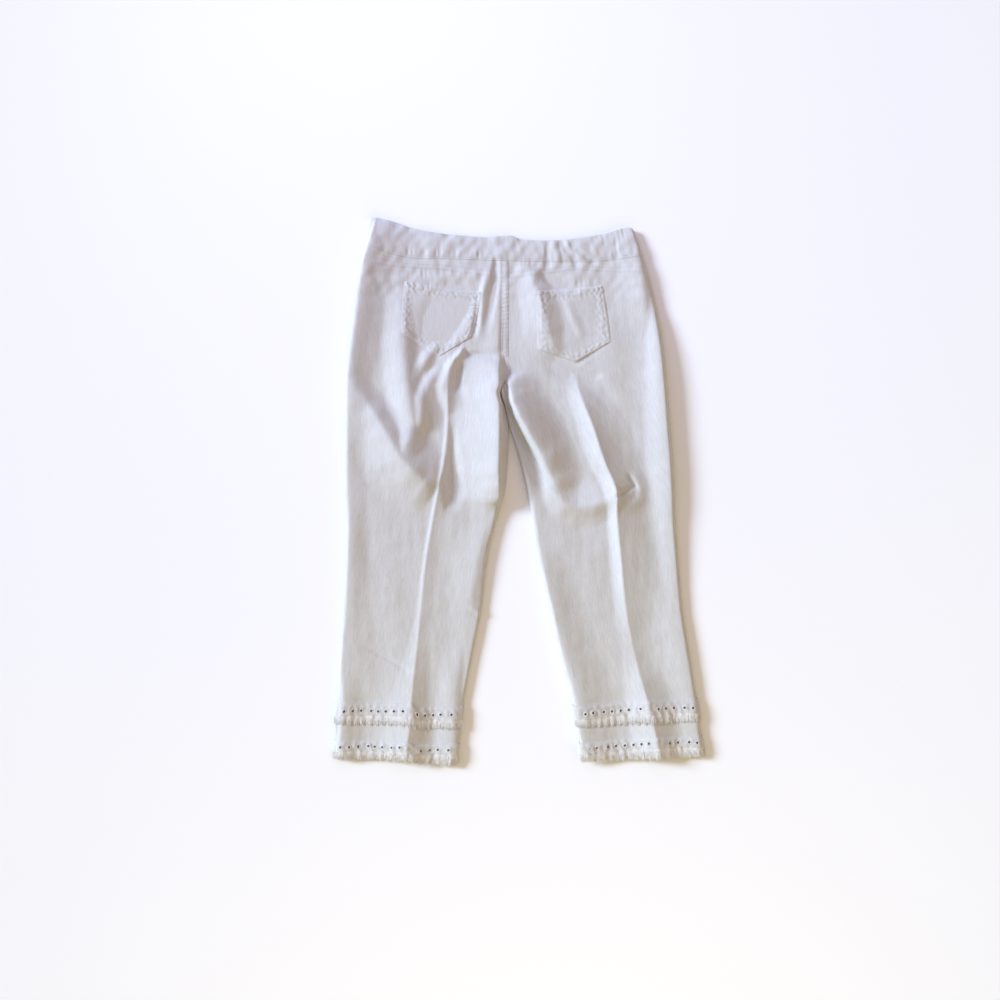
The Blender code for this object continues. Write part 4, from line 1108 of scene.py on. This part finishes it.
# The tiers' own cloth: its cells, and how it lies over the leg
tierCloth = {
    "edge": 5.0, "widest": 2.6, "cell": 2.2, "narrowest": 0.4,      # of the columns
    "topRows": (0.15, 0.45, 2), "aboveHoles": 1.8, "belowHoles": 1.4, "rowsAbove": 4,
    "bottomRows": (-1.2, -0.3, 0, 0.15, 3.5, 6.5),      # the last three are under the fringe,
    "drop": 2.0,                                        # and lie so much lower
    "frontCell": 3.0, "frontRows": 8,
    "lift": 0.5, "height": 0.6, "size": 11,             # over the leg, and its own waves
    "flare": 0.6, "flareSize": 17,                      # of the cut edge
    "sewn": 7, "flush": 0.02,                           # how far from the seam it still lies flat
    "leastLift": 0.15,
}


def tierColumns(level, side, width):
    # Columns on both sides of each hole, and even ones between
    edge = tierCloth["edge"]
    marks = []
    for fromOuter, _ in eyelets[f"{level}_{side}"]:
        for d in eyelets["block"]:
            marks += [fromOuter - d, fromOuter + d]
        marks.append(fromOuter)
    marks = sorted(m for m in marks if edge < m < width - edge)
    filled = [edge]
    for mark in [*marks, width - edge]:
        gap = mark - filled[-1]
        if gap > tierCloth["widest"]:
            extra = int(gap // tierCloth["cell"])
            filled += [filled[-1] + gap * (i + 1) / (extra + 1) for i in range(extra)]
        if mark - filled[-1] > tierCloth["narrowest"]:
            filled.append(mark)
    return filled


def legWidth(side, down):
    # From the outer to the inner edge
    plan = legPlan(side, np.array([down], float), [("outerEdge", 0)], np.array([5.0]))
    return float(plan["fromInner"][0, 0])


def tierRows(tier):
    # From the seam down: narrow rows at both edges, and a block of even ones round the holes
    top, middle, bottom = tier["top"], tier["middle"], tier["bottom"]
    block = [*(-d for d in reversed(eyelets["block"])), 0, *eyelets["block"]]
    first, second, third = (top + d for d in tierCloth["topRows"])
    above, below = middle + block[0] - tierCloth["aboveHoles"], middle + block[-1]
    return np.array([
        first, second, *np.linspace(third, above, tierCloth["rowsAbove"]),
        *(middle + d for d in block), below + tierCloth["belowHoles"],
        *(bottom + d for d in tierCloth["bottomRows"])])


def makeTierBack(level, side):
    width = legWidth(side, tiers[level]["middle"])
    places = tierColumns(level, side, width)
    radius = float(readCurve(clothHeights, "radius", tiers[level]["middle"]))
    ends = [radius * (1 - math.cos(math.radians(a))) for a in cloth["edgeAngles"]]
    fromOuter = np.array([*ends, *places, *[width - e for e in reversed(ends)]])
    rows = tierRows(tiers[level])
    surface, grain = tierSurface(level, side, rows, fromOuter / width, tierCloth["drop"])
    points = surface.copy()
    missing = np.zeros((len(rows) - 1, len(fromOuter) - 1), bool)
    middleRow = int(np.argmin(np.abs(rows - tiers[level]["middle"])))
    centres = []
    for at, lower in eyelets[f"{level}_{side}"]:
        column = int(np.argmin(np.abs(fromOuter - at)))
        if abs(fromOuter[column] - at) > 0.2 or column - 3 < len(ends):
            continue        # too near the edge of the leg
        down = unitOf(surface[middleRow + 1, column] - surface[middleRow - 1, column])
        across = unitOf(surface[middleRow, column + 1] - surface[middleRow, column - 1])
        centre = surface[middleRow, column] + down * lower
        for ring, size in ((1, eyelets["radius"]), (2, eyelets["collar"])):
            for r, q in squareRing(ring):
                turn = math.atan2(r, q)
                spot = centre + size * (across * math.cos(turn) + down * math.sin(turn))
                points[middleRow + r, column + q] = spot
        missing[middleRow - 1:middleRow + 1, column - 1:column + 1] = True
        points[middleRow, column] = centre
        centres.append((centre, across, down))
    piece = clothPiece(f"tier_{level}_back_{side}_cloth", points, grain, cloth["trimWall"], 1,
                       missing)
    finishPiece(piece, f"tier_{level}_back_{side}", tierDenim)
    return piece, points, centres


def unitOf(vector):
    return vector / max(np.linalg.norm(vector), 1e-9)


def squareRing(n):
    spots = [(r, q) for r in range(-n, n + 1) for q in range(-n, n + 1)]
    return [(r, q) for r, q in spots if max(abs(r), abs(q)) == n]


def tierSurface(level, side, rows, share, drop):
    # The outer face of a tier: the leg's own surface, moved out, and a little crinkled.
    # drop is how much lower it is past the cut edge.
    tier = tiers[level]
    across = [legWidth(side, row) for row in rows]
    points = np.zeros((len(rows), len(share), 3))
    grain = np.zeros(points.shape)
    for r, row in enumerate(rows):
        columns = [("at", share[c] * across[r]) for c in range(len(share))]
        line, g = backSurface(side, [row], columns)
        points[r], grain[r] = line[0], g[0]
    normals = gridNormals(points, 1)
    radius = float(readCurve(clothHeights, "radius", tier["middle"]))
    t = (rows - tier["top"]) / (tier["bottom"] - tier["top"])
    for c in range(len(share)):
        toEdge = min(share[c], 1 - share[c]) * across[0]
        if toEdge < radius:
            lean = math.acos(1 - toEdge / radius) if toEdge > 0 else 0.0
            sideways = outward(side) * (1 if share[c] < 0.5 else -1)
            normals[:, c] = (sideways * math.cos(lean), 0, math.sin(lean))
    x, y = points[:, :, 0], points[:, :, 1]
    least = tierCloth["lift"] + cloth["trimWall"]
    inside = np.clip(np.minimum(share, 1 - share) * across[0] / 12, 0, 1)[None, :]
    waves = 0.5 + 0.5 * ripple(x, y, tierCloth["size"], 1.0, 51)
    flare = tierCloth["flare"] * (0.6 + 0.5 * ripple(x, 0 * y, tierCloth["flareSize"], 1.0, 52))
    lift = least + tierCloth["height"] * inside * waves
    lift = np.maximum(lift + inside * flare * (np.clip(t, 0, 1)[:, None] ** 2), least)
    sewn = ease((rows - tier["top"]) / tierCloth["sewn"])[:, None]      # flush where it is sewn on
    lift = lift * sewn + tierCloth["flush"] * (1 - sewn)
    lower = np.maximum(lift - drop, tierCloth["leastLift"])
    lift = np.where((rows > tier["bottom"])[:, None], lower, lift)
    return points + normals * lift[:, :, None], grain


def makeTierFront(level, side):
    tier, margin = tiers[level], cloth["gap"] / 2
    downs = np.linspace(tier["top"] + margin, tier["bottom"] - margin, tierCloth["frontRows"])
    points, grain = frontSurface(side, downs, legColumnsOf(side, tierCloth["frontCell"]))
    normals = gridNormals(points, -1)
    points = points + normals * (cloth["gap"] + cloth["trimWall"])
    points[:, :, 2] = np.maximum(points[:, :, 2], 0)
    piece = clothPiece(f"tier_{level}_front_{side}_cloth", points, grain, cloth["trimWall"], -1)
    finishPiece(piece, f"tier_{level}_front_{side}", tierDenim)
    return piece, points


def joinedMesh(name, parts, material):
    # parts is a list of (points, faces), or of (points, faces, normals), made into one mesh
    verts, faces, normals, start = [], [], [], 0
    for points, cells, *directions in parts:
        verts.append(points)
        faces += [[v + start for v in cell] for cell in cells]
        normals += directions
        start += len(points)
    made = meshFrom(name, np.concatenate(verts), faces)
    if normals:
        made.data.normals_split_custom_set_from_vertices(np.concatenate(normals).tolist())
    return finishPiece(made, None, material)


def makeRims(level, side, centres):
    # Satin stitch round each hole: a low ring with a ridge for each pass of the thread
    around, rings, inner, lip = (eyelets[key] for key in ("around", "rings", "radius", "lip"))
    slow, quick = eyelets["ragged"]
    parts = []
    draw = random.Random(f"rims {level} {side}")
    for centre, across, down in centres:
        up = unitOf(np.cross(down, across))
        if up[2] < 0:
            up, down = -up, -down
        turn = np.arange(around) / around * 2 * np.pi
        wave = 0.5 + 0.5 * np.cos(turn * eyelets["passes"] + draw.uniform(0, 6))
        ragged = 1 + slow * np.sin(turn * 3 + draw.uniform(0, 6)) + quick * np.cos(turn * 7)
        points = []
        for k in range(rings + 1):
            f = k / rings
            r = inner - lip + f * (eyelets["rimRadius"] * ragged - inner + lip)
            r = r + eyelets["ridge"] * wave * f
            height = eyelets["rimHeight"] * math.sin(math.pi * (0.16 + 0.84 * f)) ** 0.7
            rise = height * (0.8 + 0.2 * wave) - (eyelets["root"] if k == 0 else eyelets["foot"] * f)
            for i in range(around):
                out = across * math.cos(turn[i]) + down * math.sin(turn[i])
                points.append(centre + r[i] * out + up * rise[i])
        faces = [(k * around + i, k * around + (i + 1) % around,
                  (k + 1) * around + (i + 1) % around, (k + 1) * around + i)
                 for k in range(rings) for i in range(around)]
        parts.append((np.array(points), faces))
    return joinedMesh(f"eyelet_rims_{level}_{side}", parts, rimThread)


fringe = {
    "spacing": 0.36, "layers": 2, "radius": 0.4, "taper": 0.55, "rings": 5,
    "upper": (10.0, 16.5), "lower": (13.0, 19.0),       # shortest and longest threads
    "sag": {"upper": 0.6, "lower": 2.2},
    "clump": 5.5, "clumpPull": 0.3, "wave": 0.3,
    "wander": 0.35, "spread": 0.7, "tipHeight": 0.12,   # unevenness along them and of their tips
    "rootDepth": (0.2, 0.25), "tipDepth": (0.1, 0.3),   # for all, and more for each layer
    "from": -1.2, "middle": 6, "to": 16,        # rows past the cut edge that the threads follow,
    "drop": 0.6,                                # so much under the tier's face
    # for the ones of the layer underneath
    "frontSpacing": 1.5, "frontShorter": 3, "frontLean": 0.09,
    "frontStart": 0.75, "frontTips": (0.35, 0.8), "floor": 0.02,
}


def threadParts(roots, tips, sags, draw, radius, facing=1):
    # Thin tapering threads, three sides each; the flat one faces up (1) or down (-1), and is
    # shaded nearly as flat as the cloth, as soft fibres are
    parts, last = [], fringe["rings"] - 1
    faces = [(k * 3 + i, (k + 1) * 3 + i, (k + 1) * 3 + (i + 1) % 3, k * 3 + (i + 1) % 3)
             for k in range(last) for i in range(3)]
    faces += [(0, 1, 2), (last * 3, last * 3 + 2, last * 3 + 1)]
    for root, tip, sag in zip(roots, tips, sags):
        run = tip - root
        along = unitOf(run)
        sideways = unitOf(np.cross(along, (0, 0, 1.0))) * facing
        upward = np.cross(sideways, along)
        wander = draw.normal(0, fringe["wander"], (last + 1, 2))
        wander[0] = 0
        points, normals = [], []
        for k in range(last + 1):
            f = k / last
            centre = root + run * f + sideways * wander[k, 0] + upward * wander[k, 1] * 0.2
            centre = centre - np.array([0, 0, sag * f * f])
            r = radius * (1 - fringe["taper"] * f)
            for i in range(3):
                turn = 2 * np.pi * i / 3 + 0.52
                out = sideways * math.cos(turn) + upward * math.sin(turn)
                points.append(centre + r * out)
                normals.append(unitOf(0.3 * out + 0.7 * upward) if i < 2 else out)
        parts.append((np.array(points), faces, np.array(normals)))
    return parts


def makeFringe(level, side):
    bottom, (low, high) = tiers[level]["bottom"], fringe[level]
    draw = np.random.default_rng(61 + (level == "lower") * 2 + (side == "right"))
    width = legWidth(side, bottom)
    count = int(width / fringe["spacing"])
    (rootDepth, rootMore), (tipDepth, tipMore) = fringe["rootDepth"], fringe["tipDepth"]
    parts = []
    for layer in range(fringe["layers"]):
        share = (np.arange(count) + draw.uniform(0, 1, count)) / count
        share = np.clip(share, 0.002, 0.998)
        share.sort()
        rows = np.array([bottom + fringe[key] for key in ("from", "middle", "to")], float)
        surface, _ = tierSurface(level, side, rows, share, fringe["drop"])
        clump = np.round(share * width / fringe["clump"]) * fringe["clump"] / width
        pull = (clump - share) * width * fringe["clumpPull"] * draw.uniform(0.2, 1.0, count)
        clumpSeed = np.sin(clump * width * 1.7) * 0.5 + 0.5
        length = low + (high - low) * (0.6 * draw.uniform(0, 1, count) + 0.4 * clumpSeed)
        root, end = surface[0], surface[2]
        along = (end - root) / (fringe["to"] - fringe["from"])
        sideways = np.stack([-along[:, 1], along[:, 0], 0 * along[:, 0]], 1)
        sideways *= -np.sign(sideways[:, :1]) * np.sign(np.diff(surface[1, [0, -1], 0]))
        pull = pull + draw.normal(0, fringe["spread"], count)
        tip = root + along * length[:, None] - sideways * pull[:, None]
        puff = fringe["wave"] * np.sin(share * width / fringe["clump"] * np.pi + layer)
        tip[:, 2] += puff + draw.normal(0, fringe["tipHeight"], count) - tipDepth - tipMore * layer
        root[:, 2] -= rootDepth + rootMore * layer
        sag = np.full(count, fringe["sag"][level])
        parts += threadParts(root, tip, sag, draw, fringe["radius"])
    piece = joinedMesh(f"fringe_{level}_{side}_threads", parts, frayedThread)
    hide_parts(f"fringe_{level}_{side}")
    return piece


def makeFrontFringe(level, side, edge):
    # Threads of the layer underneath, flat on the floor
    draw = np.random.default_rng(81 + (level == "lower") * 2 + (side == "right"))
    marks = np.r_[0, np.cumsum(np.linalg.norm(np.diff(edge[:, :2], axis=0), axis=1))]
    flat = edge[:, 2] < 2.6     # not where the cloth turns up at the sides
    start, stop = marks[flat][0], marks[flat][-1]
    count = int((stop - start) / (fringe["spacing"] * fringe["frontSpacing"]))
    at = start + (stop - start) * (np.arange(count) + draw.uniform(0, 1, count)) / count
    root = np.stack([np.interp(at, marks, edge[:, axis]) for axis in range(3)], 1)
    root[:, 2] = fringe["frontStart"]
    length = draw.uniform(*fringe[level], count) - fringe["frontShorter"]
    lean = draw.normal(0, fringe["frontLean"], count)
    tip = root + np.stack([np.sin(lean), -np.cos(lean), 0 * lean], 1) * length[:, None]
    tip[:, 2] = draw.uniform(*fringe["frontTips"], count)
    parts = threadParts(root, tip, 0 * length, draw, fringe["radius"], -1)
    for points, _, _ in parts:
        points[:, 2] = np.maximum(points[:, 2], fringe["floor"])
    return joinedMesh(f"fringe_{level}_front_{side}", parts, frayedThread)


tierPieces, tierTrees = {}, {}
for level in tiers:
    for side in ("left", "right"):
        back, points, centres = makeTierBack(level, side)
        rims = makeRims(level, side, centres)
        threads = makeFringe(level, side)
        front, frontPoints = makeTierFront(level, side)
        frontThreads = makeFrontFringe(level, side, frontPoints[-1])
        tierPieces[level, side] = back, rims, threads, front, frontThreads
        tierTrees[level, side] = treeOf(points)
print("capri pants: tiers, eyelets and fringes made")

# Topstitching: each stitch is a short thread that dips into the cloth at both ends
stitch = {
    "pitch": 3.3, "length": 2.7, "radius": 0.27, "rings": 5, "sides": 6,
    "lift": 0.28, "dip": 0.5, "end": 0.2,       # above the cloth, down at the ends, and their width
    "turn": 0.07, "uneven": (0.92, 1.06),       # from its line, and of its length
    "bandShare": 0.09,                          # how far up the waistband its line is
    "yoke": (2.4, 8.4), "tier": 2.6,            # so far above the yoke seam and below a tier's
    # at both ends of a pocket's opening
    "tacks": 14, "tackPlaces": (0.035, 0.965), "tackFrom": 1.5, "tackStep": 0.55, "tackWidth": 1.6,
}


def stitchParts(path, trees, draw, pitch=None):
    path = np.asarray(path, float)
    marks = np.r_[0, np.cumsum(np.hypot(*np.diff(path, axis=0).T))]
    pitch = pitch or stitch["pitch"]
    count = max(1, int(marks[-1] / pitch))
    rings, sides = stitch["rings"], stitch["sides"]
    faces = [(k * sides + i, k * sides + (i + 1) % sides, (k + 1) * sides + (i + 1) % sides,
              (k + 1) * sides + i) for k in range(rings - 1) for i in range(sides)]
    faces += [tuple(range(sides))[::-1], tuple(range((rings - 1) * sides, rings * sides))]
    parts = []
    for n in range(count):
        at = (n + 0.5) / count * marks[-1]
        x, y = (np.interp(at, marks, path[:, axis]) for axis in (0, 1))
        ahead = [np.interp(at + 0.5, marks, path[:, axis]) for axis in (0, 1)]
        behind = [np.interp(at - 0.5, marks, path[:, axis]) for axis in (0, 1)]
        hit = onCloth(trees, x, y)
        if hit is None:
            continue
        spot, normal = np.array(hit[0]), np.array(hit[1])
        run = np.array([ahead[0] - behind[0], ahead[1] - behind[1], 0.0])
        run = unitOf(run - run.dot(normal) * normal)
        turn = draw.uniform(-stitch["turn"], stitch["turn"])
        across = np.cross(normal, run)
        run, across = (run * math.cos(turn) + across * math.sin(turn),
                       across * math.cos(turn) - run * math.sin(turn))
        half = stitch["length"] / 2 * draw.uniform(*stitch["uneven"])
        points = []
        for k in range(rings):
            f = 2 * k / (rings - 1) - 1
            fullness = math.sqrt(max(1 - f * f, 0)) * (1 - stitch["end"]) + stitch["end"]
            centre = spot + run * f * half + normal * (stitch["lift"] - stitch["dip"] * f * f)
            for i in range(sides):
                angle = 2 * math.pi * i / sides
                points.append(centre + stitch["radius"] * fullness
                              * (across * math.cos(angle) + normal * math.sin(angle)))
        parts.append((np.array(points), faces))
    return parts


def legPath(side, down, step=2.0):
    # A line across a leg at one place down it, in plan, but not round its folded edges
    points, _ = backSurface(side, [float(down)], legColumnsOf(side, step))
    keep = points[0][4:-4] if down > legsPart else points[0][4:-1]
    return keep[:, :2]


def bandPath():
    # A line just above the waistband's seam
    line, marks = seamLine(backSurface, cloth["grid"])
    path = []
    for share in np.linspace(0.02, 0.98, 160):
        seam = np.array([np.interp(share * marks[-1], marks, line[:, axis]) for axis in (0, 1)])
        edge = np.array([float(readCurve(waistEdge, key, share, "along")) for key in "xy"])
        path.append(seam + (edge - seam) * stitch["bandShare"])
    return path


def pocketStitchParts(side, draw):
    # Lines along the sides and the lower edge, one below the hem, and a tack at each upper end
    width, depth = pocketSizes(side)
    trees = [pocketTrees[side]]
    parts = []
    for d in pocketStitches["sides"]:
        s, t = d / width, 1 - d / depth
        path = [(s, a) for a in np.linspace(0.02, t, 40)]
        path += [(a, t) for a in np.linspace(s, 1 - s, 60)[1:]]
        path += [(1 - s, a) for a in np.linspace(t, 0.02, 40)[1:]]
        parts += stitchParts([pocketPlace(side, *p) for p in path], trees, draw)
    hem = pocketStitches["hem"] / depth
    parts += stitchParts([pocketPlace(side, a, hem) for a in np.linspace(0.02, 0.98, 60)],
                         trees, draw)
    for corner in stitch["tackPlaces"]:
        for n in range(stitch["tacks"]):
            t = (stitch["tackFrom"] + n * stitch["tackStep"]) / depth
            ends = [pocketPlace(side, corner + a / width, t)
                    for a in (-stitch["tackWidth"], stitch["tackWidth"])]
            parts += stitchParts(ends, trees, draw, pitch=9)
    return parts


def seatStitchParts(draw):
    downs = np.linspace(seatSeam["stitchFrom"], seatSeam["last"] - seatSeam["taper"] / 2, 90)
    parts = []
    for across in seatSeam["stitchLines"]:
        path = np.stack([readCurve(centreSeam, "x", downs) + across,
                         readCurve(centreSeam, "y", downs)], 1)
        parts += stitchParts(path, [seatTree], draw)
    return parts


def makeStitches():
    draw = random.Random(71)
    made = {"band": joinedMesh("stitches_waistband", stitchParts(bandPath(), [bandTree], draw),
                               seamThread)}
    for side in ("left", "right"):
        parts = []
        for above in stitch["yoke"]:
            parts += stitchParts(legPath(side, yokeSeam - above), legTrees[side], draw)
        made["yoke", side] = joinedMesh(f"stitches_yoke_{side}", parts, seamThread)
        parts = pocketStitchParts(side, draw)
        made["pocket", side] = joinedMesh(f"stitches_pocket_{side}", parts, seamThread)
        for level in tiers:
            parts = stitchParts(legPath(side, tiers[level]["top"] + stitch["tier"]),
                                [tierTrees[level, side]], draw)
            made["tier", level, side] = joinedMesh(f"stitches_tier_{level}_{side}", parts,
                                                   seamThread)
    made["seat"] = joinedMesh("stitches_seat_seam", seatStitchParts(draw), seamThread)
    return made


stitches = makeStitches()
print("capri pants: topstitching made")


# Floor, lights and camera, in metres
studio = {
    "floor": (0.945, 0.96, 0.975, 1), "floorRoughness": 0.9, "floorHalf": 40.0,
    "floorZ": -0.0004,          # just under the cloth, so that the two don't flicker
    "world": 0.42, "worldColour": (1.0, 0.835, 0.6, 1),
    "key": {"power": 5.15, "colour": (0.645, 0.772, 1.0), "from": (-0.877, 0.29, 0.385), "soft": 16},
    "fill": {"power": 0.36, "colour": (1.0, 0.66, 0.48), "from": (0.70, -0.40, 0.57), "soft": 40},
    "window": {"power": 3.8, "colour": (0.29, 0.31, 1.0), "from": (-0.30, 0.95, 0.7), "size": 0.8},
    "hemSide": {"power": 3.4, "colour": (1.0, 0.84, 0.36), "from": (0.1, -1.35, 1.0), "size": 1.0},
    "cameraX": -0.0315, "cameraY": -0.0118, "sensor": 36,
    "cameraHeight": 2.0, "clothHeight": 0.008,      # over the cloth, and the cloth's own
    "viewWidth": 1.68,
}


def makeLight(name, look):
    # One with a size is a soft panel that fades towards the hems; the others are even
    panel = "size" in look
    data = bpy.data.lights.new(name, "AREA" if panel else "SUN")
    if panel:
        data.size = look["size"]
    else:
        data.angle = math.radians(look["soft"])
    data.energy = look["power"]
    data.color = look["colour"]
    made = bpy.data.objects.new(name, data)
    made.location = Vector(look["from"]) * (1 if panel else 3)
    made.rotation_euler = (-Vector(look["from"])).to_track_quat("-Z", "Y").to_euler()
    bpy.context.scene.collection.objects.link(made)


def makeFloor():
    half, z = studio["floorHalf"], studio["floorZ"]
    mesh = bpy.data.meshes.new("floor")
    corners = [(-half, -half, z), (half, -half, z), (half, half, z), (-half, half, z)]
    mesh.from_pydata(corners, [], [(0, 1, 2, 3)])
    floor = bpy.data.objects.new("floor", mesh)
    bpy.context.scene.collection.objects.link(floor)
    paper, _, shader = newMaterial("floor_paper")
    shader.inputs["Base Color"].default_value = studio["floor"]
    shader.inputs["Roughness"].default_value = studio["floorRoughness"]
    floor.data.materials.append(paper)


def makeStudio():
    makeFloor()
    for name in ("key", "fill", "window", "hemSide"):
        makeLight(name, studio[name])
    world = bpy.data.worlds.new("studio")
    world.use_nodes = True
    sky = world.node_tree.nodes["Background"].inputs
    sky["Color"].default_value, sky["Strength"].default_value = studio["worldColour"], studio["world"]
    scene = bpy.context.scene
    scene.world = world
    scene.view_settings.view_transform = "Standard"
    data = bpy.data.cameras.new("camera")
    data.sensor_width = studio["sensor"]
    data.lens = studio["sensor"] * studio["cameraHeight"] / studio["viewWidth"]
    camera = bpy.data.objects.new("camera", data)
    camera.location = (studio["cameraX"], studio["cameraY"],
                       studio["cameraHeight"] + studio["clothHeight"])
    scene.collection.objects.link(camera)
    scene.camera = camera


makeStudio()
print("capri pants: ready")
